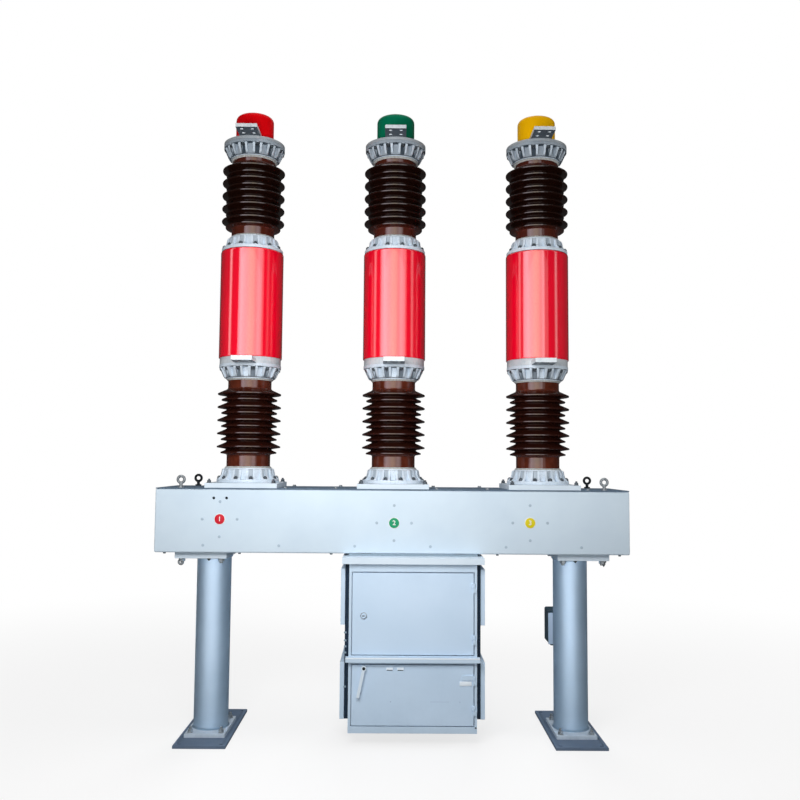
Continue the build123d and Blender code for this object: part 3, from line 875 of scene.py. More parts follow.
@dataclass(frozen=True)
class Fastener:
    """A hexagon head or nut with its washer, and a stud's end where it has one. Millimetres."""

    across_flats: float
    head: float
    washer_diameter: float
    washer: float
    stud_diameter: float = 0.0
    stud_end: float = 0.0
    chamfer: float = 0.12
    point: float = 1.5

    def mesh(self) -> Mesh:
        """Builds the fastener standing up on the origin.

        Returns:
            Its mesh.
        """
        shape = Shape()
        radius, foot, top = self.washer_diameter / 2, self.washer, self.washer + self.head
        shape.lathe([(0, 0), (radius, 0), (radius, foot), (0, foot)], segments=16)
        corner = self.across_flats / math.sqrt(3)
        cut = corner * self.chamfer
        head = [(0, foot), (corner, foot), (corner, top - cut * 0.6), (corner - cut, top), (0, top)]
        shape.lathe(head, segments=6)
        if self.stud_end:
            radius, end, point = self.stud_diameter / 2, top + self.stud_end, self.point
            stud = [(0, top), (radius, top), (radius, end - point), (radius - point, end), (0, end)]
            shape.lathe(stud, segments=12)
        return shape.mesh(25.0)


FLANGE_NUT = Fastener(19, 10, 24, 2.5, 12, 5)
PLATE_STUD = Fastener(19, 12, 28, 3, 12, 8)
ANCHOR_NUT = Fastener(24, 13, 32, 3, 16, 16)
HEAD_BOLT = Fastener(30, 14, 37, 4, 20, 10)
COVER_BOLT = Fastener(17, 7, 24, 2)
UNDER_BOLT = Fastener(17, 8, 24, 2, 10, 5)
LID_BOLT = Fastener(13, 6, 18, 1.5)
BEAM_SCREW = Fastener(11, 2.6, 16, 0.8)
BOX_SCREW = Fastener(8, 3.0, 11, 1.0)


def copies_tree(name: str, sockets: dict[str, str]) -> tuple[Tree, bpy.types.NodeOutputs]:
    """Starts a Geometry Nodes tree that makes copies of a part.

    Args:
        name: the tree's name.
        sockets: its own inputs and their kinds, next to Geometry, Part and Finish.

    Returns:
        The tree and the sockets of its inputs.
    """
    tree = bpy.data.node_groups.new(name, "GeometryNodeTree")
    common = {"Geometry": "Geometry", "Part": "Object", "Finish": "Material"}
    for socket, kind in {**common, **sockets}.items():
        tree.interface.new_socket(socket, in_out="INPUT", socket_type=f"NodeSocket{kind}")
    tree.interface.new_socket("Geometry", in_out="OUTPUT", socket_type="NodeSocketGeometry")
    return tree, add_node(tree, "NodeGroupInput").outputs


def copies_on(tree: Tree, given: bpy.types.NodeOutputs, points: Socket, turn: Socket) -> Socket:
    """Sets a copy of the part on each point.

    Args:
        tree: the tree.
        given: the sockets of its inputs.
        points: the points.
        turn: each copy's turn.

    Returns:
        The socket with the copies.
    """
    part = add_node(tree, "GeometryNodeObjectInfo", links={"Object": given["Part"]})
    links = {"Points": points, "Instance": part.outputs["Geometry"], "Rotation": turn}
    return add_node(tree, "GeometryNodeInstanceOnPoints", links=links).outputs[0]


def finish_tree(tree: Tree, copies: Socket, finish: Socket) -> Tree:
    """Ends a tree of copies: makes them real and gives them their material.

    Args:
        tree: the tree.
        copies: the socket with the copies.
        finish: the socket with the material.

    Returns:
        The tree.
    """
    real = add_node(tree, "GeometryNodeRealizeInstances", links={0: copies}).outputs[0]
    dressed = add_node(
        tree, "GeometryNodeSetMaterial", links={"Geometry": real, "Material": finish}
    )
    add_node(tree, "NodeGroupOutput", links={0: dressed.outputs[0]})
    return tree


def ring_tree() -> Tree:
    """Builds the tree that sets copies of a part round a circle, each facing outwards.

    Returns:
        The tree, with inputs Part, Finish, Count, Radius and Phase.
    """
    kinds = {"Count": "Int", "Radius": "Float", "Phase": "Float"}
    tree, given = copies_tree("parts_on_a_circle", kinds)
    size = {"Vertices": given["Count"], "Radius": given["Radius"]}
    circle = add_node(tree, "GeometryNodeMeshCircle", links=size)
    outward = add_node(
        tree, "FunctionNodeAlignRotationToVector",
        links={"Vector": add_node(tree, "GeometryNodeInputPosition").outputs[0]},
        axis="X", pivot_axis="Z",
    )
    copies = copies_on(tree, given, circle.outputs[0], outward.outputs[0])
    phase = add_node(tree, "ShaderNodeCombineXYZ", links={"Z": given["Phase"]})
    links = {"Geometry": copies, "Rotation": phase.outputs[0]}
    turned = add_node(tree, "GeometryNodeTransform", links=links)
    return finish_tree(tree, turned.outputs[0], given["Finish"])


def spots_tree() -> Tree:
    """Builds the tree that sets a copy of a part on each point of a mesh.

    Returns:
        The tree, with inputs Geometry, Part, Finish and Turn.
    """
    tree, given = copies_tree("parts_on_points", {"Turn": "Vector"})
    turn = add_node(tree, "FunctionNodeEulerToRotation", links={0: given["Turn"]})
    copies = copies_on(tree, given, given["Geometry"], turn.outputs[0])
    return finish_tree(tree, copies, given["Finish"])


class Pattern:
    """Makes repeated small parts with Geometry Nodes, as plain meshes."""

    def __init__(self) -> None:
        """Builds the two trees."""
        self.ring = ring_tree()
        self.spots = spots_tree()

    def round_circle(
        self, part: Mesh, count: int, radius: float, phase: float, finish: Finish
    ) -> Mesh:
        """Sets copies of a part round a circle about the origin, each facing outwards.

        Args:
            part: the part, its own X axis outwards.
            count: how many copies there are.
            radius: the circle's radius, in millimetres.
            phase: the turn of the first copy, in radians.
            finish: what they are made of.

        Returns:
            The copies as one mesh.
        """
        values = {"Count": count, "Radius": radius * MM, "Phase": phase}
        return self._made(self.ring, part, [], values, finish)

    def fasten(
        self, name: str, kind: Fastener, spots: Iterable[Iterable[float]], finish: Finish,
        facing: Facing = Facing.UP, slot: str = "forged_steel",
    ) -> None:
        """Sets a fastener on each of several points and places them all as one piece.

        Args:
            name: the piece's name.
            kind: the fastener.
            spots: where they go, in metres.
            finish: what they are made of.
            facing: where their tops point.
            slot: the record's material slot that they belong to.
        """
        turn = {"Turn": facing.value}
        place_piece(self._made(self.spots, kind.mesh(), spots, turn, finish), name, finish, slot)

    def _made(
        self, tree: Tree, part: Mesh, points: Iterable[Iterable[float]], values: dict,
        finish: Finish,
    ) -> Mesh:
        """Runs a tree once.

        Args:
            tree: the tree.
            part: the mesh that is repeated.
            points: the carrier mesh's points.
            values: the tree's other inputs, by name.
            finish: what the copies are made of.

        Returns:
            The result as a plain mesh.
        """
        source = added("part_to_repeat", part)
        carrier_mesh = bpy.data.meshes.new("carrier")
        carrier_mesh.from_pydata([tuple(p) for p in points], [], [])
        carrier = added("carrier", carrier_mesh)
        modifier = carrier.modifiers.new("repeat", "NODES")
        modifier.node_group = tree
        given = {**values, "Part": source, "Finish": finish.material()}
        for socket in tree.interface.items_tree:
            if socket.in_out == "INPUT" and socket.name in given:
                modifier[socket.identifier] = given[socket.name]
        made = baked(carrier)
        for helper in (carrier, source):
            bpy.data.objects.remove(helper)
        return made


def soften(node: str, finish: Finish, width: float = 1.5) -> None:
    """Dresses a kept CAD node: its finish, joined facets and slightly rounded edges.

    Args:
        node: the node's name.
        finish: what it is made of.
        width: how wide the rounding of its edges is, in millimetres.
    """
    part = frame["nodes"][node]
    part.material_slots[0].material = finish.material()
    weld = part.modifiers.new("joined_facets", "WELD")
    weld.merge_threshold = FACET_GAP * MM
    bevel = part.modifiers.new("soft_edges", "BEVEL")
    bevel.width = width * MM
    bevel.segments = 2
    bevel.limit_method = "ANGLE"
    bevel.angle_limit = math.radians(SOFT_FROM)
    bevel.harden_normals = True
    log.info("%s: kept and dressed in %s", node, finish.name)


def upright(node: str) -> tuple[Vector, float, float]:
    """Measures a round upright node.

    Args:
        node: the node's name.

    Returns:
        The middle of its foot in metres, its radius and its height in millimetres.
    """
    low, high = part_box(node)
    middle = (low + high) / 2
    foot = Vector((middle.x, middle.y, low.z))
    return foot, (high.x - low.x) / 2 / MM, (high.z - low.z) / MM


def pipe_places() -> tuple[float, float]:
    """Gives the columns' middle Y and how far out in X their inner sides are, in metres."""
    low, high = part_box("columns")
    return (low.y + high.y) / 2, high.x - (high.y - low.y)


@dataclass
class Insulator:
    """One shedded porcelain with the cement in its two flanges. Millimetres."""

    node: str
    glaze: GlazedPorcelain
    core: float = 126.0
    long_shed: float = 184.0
    short_shed: float = 162.0
    pairs: int = 5
    pitch: float = 77.0
    step: float = 34.0
    top_slope: float = 0.45
    underside_slope: float = 0.16
    tip: float = 8.0
    valley_radius: float = 5.0
    tip_radius: float = 3.6
    pool_fade: float = 12.0
    pool_over: float = 30.0
    flange_depth: float = 70.0
    cement_inner: float = 1.0
    cement_width: float = 9.0
    cement_depth: float = 6.0
    cement_rise: float = 9.0

    def sheds(self) -> list[Point]:
        """Lists the sheds from the lowest up.

        Returns:
            The level and the radius of each shed's tip.
        """
        tips = []
        for index in range(self.pairs):
            level = (index - (self.pairs - 1) / 2) * self.pitch
            tips.append((level - self.step / 2, self.short_shed))
            tips.append((level + self.step / 2, self.long_shed))
        return tips

    def outline(self, half: float) -> list[Triple]:
        """Gives the porcelain's profile, in which the sheds meet in rounded valleys.

        Args:
            half: half its length.

        Returns:
            Corners as (radius, height, corner radius).
        """
        tips = self.sheds()
        level, radius = tips[0]
        root = level - self.tip / 2 - (radius - self.core) * self.underside_slope
        corners = [(0, -half, 0), (self.core, -half, 0), (self.core, root, 10.0)]
        for index, (level, radius) in enumerate(tips):
            corners.append((radius, level - self.tip / 2, self.tip_radius))
            corners.append((radius, level + self.tip / 2, self.tip_radius))
            top = level + self.tip / 2 + radius * self.top_slope
            if index + 1 < len(tips):
                next_level, next_radius = tips[index + 1]
                under = next_level - self.tip / 2 - next_radius * self.underside_slope
                meeting = (top - under) / (self.top_slope + self.underside_slope)
                corners.append((meeting, top - meeting * self.top_slope, self.valley_radius))
            else:
                corners.append((self.core, top - self.core * self.top_slope, 16.0))
        return corners + [(self.core, half, 0), (0, half, 0)]

    def pool_glaze(self, mesh: Mesh, middle: float) -> None:
        """Marks the sheds with painted shade, and fades the mark out at both ends.

        Args:
            mesh: the porcelain.
            middle: the level of its middle, in metres.
        """
        tips = self.sheds()
        first, last = tips[0][0] - self.pool_fade, tips[-1][0] + self.pool_over
        # The mark carries the painted shade of the sheds.
        glaze = mesh.attributes.new("shed_shade", "FLOAT", "POINT")
        for point, value in zip(mesh.vertices, glaze.data):
            level = (point.co.z - middle) / MM
            inside = min(level - first, last - level)
            value.value = min(1.0, max(0.0, inside / self.pool_fade))

    def build(self) -> None:
        """Builds the porcelain and its two cement rings."""
        low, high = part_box(self.node)
        centre, half = (low + high) / 2, (high.z - low.z) / 2 / MM
        mesh = Shape().lathe(rounded(self.outline(half), 4), centre).mesh(60.0)
        self.pool_glaze(mesh, centre.z)
        place_piece(
            mesh, f"{self.node}_glazed", self.glaze, "brown_porcelain", replaces=[self.node]
        )
        inner, outer = self.core - self.cement_inner, self.core + self.cement_width
        section = [
            (inner, -self.cement_depth), (outer, -self.cement_depth), (outer, 1.0),
            (self.core + 3.0, self.cement_rise), (inner, self.cement_rise),
        ]
        rings = Shape()
        seat = half - self.flange_depth
        for end, facing in ((-seat, Facing.UP), (seat, Facing.DOWN)):
            rings.lathe(section, centre + at(0, 0, end), turn=facing, ring=True)
        rings.place(f"{self.node}_cement", CEMENT, "brown_porcelain")


@dataclass
class FlangePair:
    """The two ribbed castings at the ends of one insulator, with their bolts. Millimetres."""

    node: str
    pattern: Pattern
    rim: float = 180.0
    rim_thickness: float = 18.0
    wall: float = 147.0
    shoulder: float = 145.0
    shoulder_height: float = 75.0
    lip: float = 138.0
    lip_height: float = 4.0
    height: float = 84.0
    bore: float = 127.0
    floor: float = 14.0
    webs: int = 12
    web_thickness: float = 15.0
    web_edge: float = 2.2
    web_turn: float = 7.0
    web_hanging: tuple[Point, ...] = ((174, 25), (164, 46), (154, 68), (147, 78))
    web_standing: tuple[Point, ...] = ((174, 23), (160, 35), (154, 54), (151, 72), (146, 79))
    bolt_circle: float = 166.0
    boss: float = 13.5
    boss_height: float = 4.5
    boss_sunk: float = 2.0
    # Shares of painted shade in the bolt pockets and the panels, on hanging and standing castings.
    soot_hanging: Point = (0.95, 0.4)
    soot_standing: Point = (0.4, 0.1)
    soot_margin: float = 1.5
    soot_radius: Point = (132.0, 166.0)
    soot_height: Point = (17.0, 78.0)
    # Share of painted shade on the rims of hanging castings, inside this radius and height.
    rim_grime: float = 0.15
    grime_radius: float = 159.0
    grime_height: float = 19.0

    def casting(self, web_profile: tuple[Point, ...]) -> Mesh:
        """Builds one flange with its rim on the ground plane and its collar up.

        Args:
            web_profile: the outer edge of its webs, as radius and height from the rim up.

        Returns:
            The flange's mesh, about the origin.
        """
        corners = [
            (0, 0, 0),
            (self.rim, 0, 1.5),
            (self.rim, self.rim_thickness, 2.5),
            (self.wall, self.rim_thickness, 7.0),
            (self.shoulder, self.shoulder_height, 3.0),
            (self.lip, self.height - self.lip_height, 1.5),
            (self.lip, self.height, 1.0),
            (self.bore, self.height, 1.5),
            (self.bore, self.floor, 2.0),
            (0, self.floor, 0),
        ]
        shape = Shape().lathe(rounded(corners, 4))
        inside, foot = self.bore + 2, self.rim_thickness / 2
        outline = [
            (inside, foot), (web_profile[0][0], foot), *web_profile, (inside, web_profile[-1][1]),
        ]
        web = Shape().prism(outline, self.web_thickness, Facing.FRONT.turn(), self.web_edge).mesh()
        step = math.pi / self.webs
        for side in (-1, 1):
            turn = step + side * math.radians(self.web_turn)
            webs = self.pattern.round_circle(web, self.webs, ON_AXIS, turn, CASTING)
            shape.copy_of(webs, Matrix.Identity(4))
        seat = at(0, 0, self.rim_thickness - self.boss_sunk)
        boss = Shape().disc(self.boss, self.boss_height, seat, segments=20).mesh()
        bosses = self.pattern.round_circle(boss, self.webs, self.bolt_circle, step, CASTING)
        return shape.copy_of(bosses, Matrix.Identity(4)).mesh()

    def soot_pockets(self, mesh: Mesh, low: Vector, high: Vector) -> None:
        """Marks painted shade in the narrow pockets of the bolts and, less so, the panels between
        them.

        Args:
            mesh: both castings as one mesh.
            low: the pair's lowest corner.
            high: its highest corner.
        """
        middle = (low + high) / 2
        pitch = 2 * math.pi / self.webs
        beside_web = self.web_thickness / 2 - self.soot_margin
        (inner, outer), (foot, top) = self.soot_radius, self.soot_height
        soot = mesh.attributes.new("pocket_shade", "FLOAT", "POINT")
        for point, value in zip(mesh.vertices, soot.data):
            hanging = point.co.z > middle.z
            height = (high.z - point.co.z if hanging else point.co.z - low.z) / MM
            away = Vector(point.co[:2]) - Vector(middle[:2])
            radius = away.length / MM
            turn = math.atan2(away.y, away.x) / pitch
            off_bolt = abs(turn - math.floor(turn) - 0.5) * pitch
            off_web = radius * math.sin(off_bolt - math.radians(self.web_turn))
            if inner < radius < outer and foot < height < top:
                pocket, panel = self.soot_hanging if hanging else self.soot_standing
                if off_web < -beside_web:
                    value.value = pocket
                elif off_web > beside_web:
                    value.value = panel
            elif hanging and height < self.grime_height and radius > self.grime_radius:
                value.value = self.rim_grime

    def build(self) -> None:
        """Builds both castings and both rings of bolts."""
        low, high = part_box(self.node)
        centre = (low + high) / 2
        seats = (
            Matrix.Translation((centre.x, centre.y, low.z)),
            Matrix.Translation((centre.x, centre.y, high.z)) @ Facing.DOWN.turn(),
        )
        castings, nuts = Shape(), Shape()
        for seat, web_profile in zip(seats, (self.web_standing, self.web_hanging)):
            castings.copy_of(self.casting(web_profile), seat)
        mesh = castings.mesh()
        self.soot_pockets(mesh, low, high)
        place_piece(mesh, f"{self.node}_cast", CASTING, "cast_flange", replaces=[self.node])
        ring = self.pattern.round_circle(
            FLANGE_NUT.mesh(), self.webs, self.bolt_circle, math.pi / self.webs, DULL_ZINC
        )
        lift = Matrix.Translation(at(0, 0, self.rim_thickness + self.boss_height - self.boss_sunk))
        for seat in seats:
            nuts.copy_of(ring, seat @ lift)
        nuts.place(f"{self.node}_nuts", DULL_ZINC, "forged_steel", crease=25.0)


@dataclass
class Pole:
    """One pole above its mounting plate. Millimetres."""

    name: str
    pattern: Pattern
    chamber_edge: float = 12.0
    chamber_seam: Point = (2.0, 3.0)
    cap_edge: float = 33.0
    cap_rise: float = 8.0
    stud_inset: float = 22.0

    def build(self) -> None:
        """Builds the pole from its mounting plate up."""
        self.mounting_plate()
        for level, soot, rim in (("lower", (0.85, 0.15), 0.05), ("upper", (1.0, 0.5), 0.5)):
            Insulator(f"{self.name}_{level}_porcelain", PORCELAIN[level]).build()
            FlangePair(
                f"{self.name}_{level}_flanges", self.pattern, soot_hanging=soot, rim_grime=rim
            ).build()
        for level, finish in TERMINAL.items():
            soften(f"{self.name}_{level}_terminal", finish, 2.0)
        self.chamber()
        self.cap()

    def mounting_plate(self) -> None:
        """Dresses the square plate and adds the studs at its corners."""
        node = f"{self.name}_base_plate"
        soften(node, PLATE_PAINT, 2.5)
        low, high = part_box(node)
        inset = self.stud_inset * MM
        places = product((low.x + inset, high.x - inset), (low.y + inset, high.y - inset))
        spots = [(x, y, high.z) for x, y in places]
        self.pattern.fasten(f"{self.name}_plate_studs", PLATE_STUD, spots, DULL_ZINC)

    def chamber(self) -> None:
        """Builds the red housing with its softened edges and the seam of its lower band."""
        node = f"{self.name}_chamber"
        foot, radius, tall = upright(node)
        seam_inset, seam_height = self.chamber_seam
        corners = [
            (0, 0, 0),
            (radius - seam_inset, 0, 1.0),
            (radius, seam_height, 1.5),
            (radius, tall, self.chamber_edge),
            (0, tall, 0),
        ]
        housing = Shape().lathe(rounded(corners, 8), foot, 160)
        housing.place(f"{node}_housing", RED_ENAMEL, "red_sleeve", replaces=[node], crease=40.0)

    def cap(self) -> None:
        """Builds the coloured cap with its slight dome."""
        node = f"{self.name}_cap"
        foot, radius, tall = upright(node)
        corners = [
            (0, 0, 0),
            (radius, 0, 1.0),
            (radius, tall - self.cap_rise, self.cap_edge),
            (radius * 0.5, tall - self.cap_rise * 0.2, 60.0),
            (0, tall, 0),
        ]
        cover = Shape().lathe(rounded(corners, 10), foot, 128)
        finish, slot = CAP_PAINT[self.name], CAP_SLOTS[self.name]
        cover.place(f"{node}_cover", finish, slot, replaces=[node], crease=50.0)


@dataclass
class Beam:
    """The box beam with its cover, eyes, phase discs and screws. Millimetres."""

    pattern: Pattern
    edge: float = 9.0
    seat_edge: float = 2.0
    seat_height: float = 16.0
    vent_x: tuple[float, ...] = (-997.0, -926.0)
    vent_z: float = 1328.0
    vent_radius: float = 7.5
    vent_proud: float = 1.2
    disc_spots: tuple[Point, ...] = ((-962.0, 1211.0), (8.0, 1196.0), (766.0, 1201.0))
    disc_radius: float = 31.0
    disc_rim: float = 3.0
    disc_proud: float = 2.0
    disc_face: float = 0.6
    numeral_height: float = 36.0
    numeral_depth: float = 0.4
    numeral_spread: float = 0.6
    numeral_proud: float = 0.8
    disc_screw_reach: float = 97.0
    low_screw_x: tuple[float, ...] = (210.0, 631.0, 1052.0)
    low_screw_z: float = 1067.0
    under_bolt_x: tuple[float, ...] = (-1268.0, -851.0, -341.0, 585.0, 873.0, 1268.0)
    under_bolt_y: float = 222.0
    cover_bolt_x: tuple[float, ...] = (-603.0, -320.0, 246.0, 529.0, 1095.0)
    cover_bolt_y: float = 216.0
    eye_major: float = 18.5
    eye_minor: float = 7.5
    eye_collar: float = 18.0
    eye_collar_height: float = 8.0
    eye_shank: float = 9.0

    def build(self) -> None:
        """Builds the beam and everything on it below the poles."""
        low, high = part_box("beam")
        self.front = low.y
        self.bottom = low.z + self.seat_height * MM
        self.box(low, high)
        soften("beam_cover", SHADED_COVER_PAINT, 1.5)
        self.screws()
        for number, (name, spot) in enumerate(zip(POLES, self.disc_spots), 1):
            self.disc(name, str(number), spot)
        self.eyes()

    def box(self, low: Vector, high: Vector) -> None:
        """Builds the box with its round folded edges, its two seats, and dark discs of painted shade
        in the vents.

        Args:
            low: the lowest corner of the beam with its seats.
            high: its highest corner.
        """
        shape = Shape().block((low.x, low.y, self.bottom), high, self.edge, 4)
        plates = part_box("column_end_plates")[1]
        middle, inner = pipe_places()
        reach = HEAD_PLATE_REACH * MM
        for side in (-1, 1):
            left, right = sorted((side * inner, side * plates.x))
            shape.block(
                (left, middle - reach, plates.z),
                (right, middle + reach, self.bottom + self.edge * MM),
                self.seat_edge,
            )
        shape.place("beam_box", BEAM_PAINT, "beam_paint", replaces=["beam"])
        # Dark discs in the vents: painted shade.
        vent_shade = Shape()
        for x in self.vent_x:
            spot = on_face((x, self.vent_z), self.front)
            vent_shade.disc(self.vent_radius, self.vent_proud, spot, Facing.FRONT)
        vent_shade.place("beam_vent_plugs", HOLLOW, "forged_steel")

    def screws(self) -> None:
        """Adds the painted screws of the front, and the bolts under the box and on its cover."""
        reach = self.disc_screw_reach
        spots = [
            (x + dx, z + dz)
            for x, z in self.disc_spots
            for dx, dz in ((-reach, 0), (reach, 0), (0, -reach), (0, reach))
        ]
        spots += [(side * x, self.low_screw_z) for side, x in product((-1, 1), self.low_screw_x)]
        self.pattern.fasten(
            "beam_front_screws", BEAM_SCREW, [on_face(spot, self.front) for spot in spots],
            SHADED_SCREW_PAINT, Facing.FRONT, "beam_paint",
        )
        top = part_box("beam_cover")[1].z
        under = (self.under_bolt_x, self.under_bolt_y, self.bottom)
        over = (self.cover_bolt_x, self.cover_bolt_y, top)
        for name, kind, finish, facing, (across, y, level) in (
            ("beam_under_bolts", LID_BOLT, DULL_ZINC, Facing.DOWN, under),
            ("beam_cover_bolts", COVER_BOLT, ZINC, Facing.UP, over),
        ):
            rows = [(x * MM, side * y * MM, level) for side, x in product((-1, 1), across)]
            self.pattern.fasten(name, kind, rows, finish, facing)

    def disc(self, name: str, numeral: str, spot: Point) -> None:
        """Adds one phase disc: its white plate, its coloured face and a plain numeral.

        Args:
            name: the pole's name.
            numeral: the number on it.
            spot: its centre, as (x, z).
        """
        centre = on_face(spot, self.front)
        plate = Shape().disc(self.disc_radius, self.disc_proud, centre, Facing.FRONT, segments=48)
        plate.place(f"{name}_disc_plate", WHITE_PRINT, "beam_paint")
        centre = on_face(spot, self.front - self.disc_proud * MM)
        radius = self.disc_radius - self.disc_rim
        face = Shape().disc(radius, self.disc_face, centre, Facing.FRONT, 0.2, 48)
        face.place(f"{name}_disc_face", DISC_PAINT[name], CAP_SLOTS[name])
        text = bpy.data.curves.new("numeral", "FONT")
        text.body = numeral
        text.align_x, text.align_y = "CENTER", "CENTER"
        text.size = self.numeral_height * MM
        text.extrude = self.numeral_depth * MM
        text.offset = self.numeral_spread * MM
        writer = added("numeral", text)
        mesh = baked(writer)
        bpy.data.objects.remove(writer)
        centre = on_face(spot, self.front - (self.disc_proud + self.numeral_proud) * MM)
        mesh.transform(Matrix.Translation(centre) @ Facing.FRONT.turn())
        place_piece(mesh, f"{name}_disc_numeral", WHITE_PRINT, "beam_paint")

    def eyes(self) -> None:
        """Builds the forged lifting eyes: bare zinc in front, dark steel behind."""
        low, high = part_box("lifting_eyes")
        outer, collar = (self.eye_major + self.eye_minor) * MM, self.eye_collar * MM
        spread, level = high.x - outer, high.z - outer
        rise = (level - low.z) / MM - self.eye_major + 1
        for row, y, finish, replaced in (
            ("front", low.y + collar, ZINC, ["lifting_eyes"]),
            ("back", high.y - collar, DARK_STEEL_AND_SHADE, []),
        ):
            eyes = Shape()
            for x in (-spread, spread):
                eyes.torus(self.eye_major, self.eye_minor, (x, y, level))
                eyes.disc(self.eye_collar, self.eye_collar_height, (x, y, low.z), edge=2.0)
                eyes.disc(self.eye_shank, rise, (x, y, low.z), segments=24)
            eyes.place(f"lifting_eyes_{row}", finish, "forged_steel", replaces=replaced)


@dataclass
class Support:
    """The two pipe columns with their plates, welds and bolts. Millimetres."""

    pattern: Pattern
    wall: float = 8.0
    weld: float = 8.0
    anchor_x: float = 85.0
    anchor_y: float = 135.0
    head_inset: float = 35.0
    dark_inset: float = 105.0
    ring_spot: Triple = (-1189.0, -165.0, 966.0)
    ring_major: float = 13.0
    ring_minor: float = 5.5
    ring_foot: float = 12.0
    plumb_spot: Triple = (1195.0, -155.0, 988.0)
    plumb: tuple[Triple, ...] = (
        (0, 0, 0), (15, 0, 1), (15, 9, 2), (10, 14, 2), (10, 22, 2), (0, 38, 0),
    )

    def build(self) -> None:
        """Builds the columns and everything that joins them to ground and beam."""
        low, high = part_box("columns")
        radius, tall = (high.y - low.y) / 2 / MM, (high.z - low.z) / MM
        centre_y = (low.y + high.y) / 2
        centres = (low.x + radius * MM, high.x - radius * MM)
        pipe = [(radius - self.wall, 0), (radius, 0), (radius, tall), (radius - self.wall, tall)]
        bead = [
            (radius - 1, 0), (radius + self.weld, 0), (radius + self.weld * 0.62, 3.2),
            (radius + 1.6, self.weld * 0.85), (radius - 1, self.weld * 1.1),
        ]
        beads = Shape()
        for side, x, replaced in (("left", centres[0], ["columns"]), ("right", centres[1], [])):
            foot = (x, centre_y, low.z)
            Shape().lathe(pipe, foot, 128, ring=True).place(
                f"{side}_column_pipe", SHADED_COLUMN_PAINT, "column_paint", replaces=replaced
            )
            beads.lathe(bead, foot, ring=True)
            beads.lathe(bead, (x, centre_y, high.z), turn=Facing.DOWN, ring=True)
        beads.place("column_welds", SHADED_COLUMN_PAINT, "column_paint", crease=60.0)
        soften("column_end_plates", FOOT_PAINT, 2.0)
        soften("foundation_plates", SLATE_PAINT, 1.5)
        spots = [
            (x + dx * self.anchor_x * MM, centre_y + dy * self.anchor_y * MM, low.z)
            for x, dx, dy in product(centres, (-1, 1), (-1, 1))
        ]
        self.pattern.fasten("foot_plate_anchors", ANCHOR_NUT, spots, ZINC)
        self.head_bolts(high.z)

    def head_bolts(self, level: float) -> None:
        """Adds the bolts under the head plates, one ring nut and one pointed bolt.

        Args:
            level: the underside of the head plates, in metres.
        """
        middle, inner = pipe_places()
        outer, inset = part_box("column_end_plates")[1].x, self.head_inset * MM
        reach = HEAD_PLATE_REACH * MM - inset
        rows, across = (middle - reach, middle + reach), (inner + inset, outer - inset)
        spots = [(side * x, y, level) for side, y, x in product((-1, 1), rows, across)]
        self.pattern.fasten("head_plate_bolts", HEAD_BOLT, spots, ZINC, Facing.DOWN)
        # Two bolts in the head plates' shadow are dark: painted shade.
        x = inner + self.dark_inset * MM
        spots = [(side * x, middle - reach, level) for side in (-1, 1)]
        self.pattern.fasten("head_plate_dark_bolts", UNDER_BOLT, spots, DARK_STEEL_AND_SHADE, Facing.DOWN)
        ring = Shape().torus(self.ring_major, self.ring_minor, at(*self.ring_spot))
        x, y, z = self.ring_spot
        rise = level / MM - z - self.ring_major + 2
        ring.disc(self.ring_foot, rise, (x * MM, y * MM, level), Facing.DOWN)
        ring.lathe(rounded(self.plumb, 2), at(*self.plumb_spot), 24, Facing.DOWN)
        ring.place("head_plate_ring_nut", ZINC, "forged_steel")


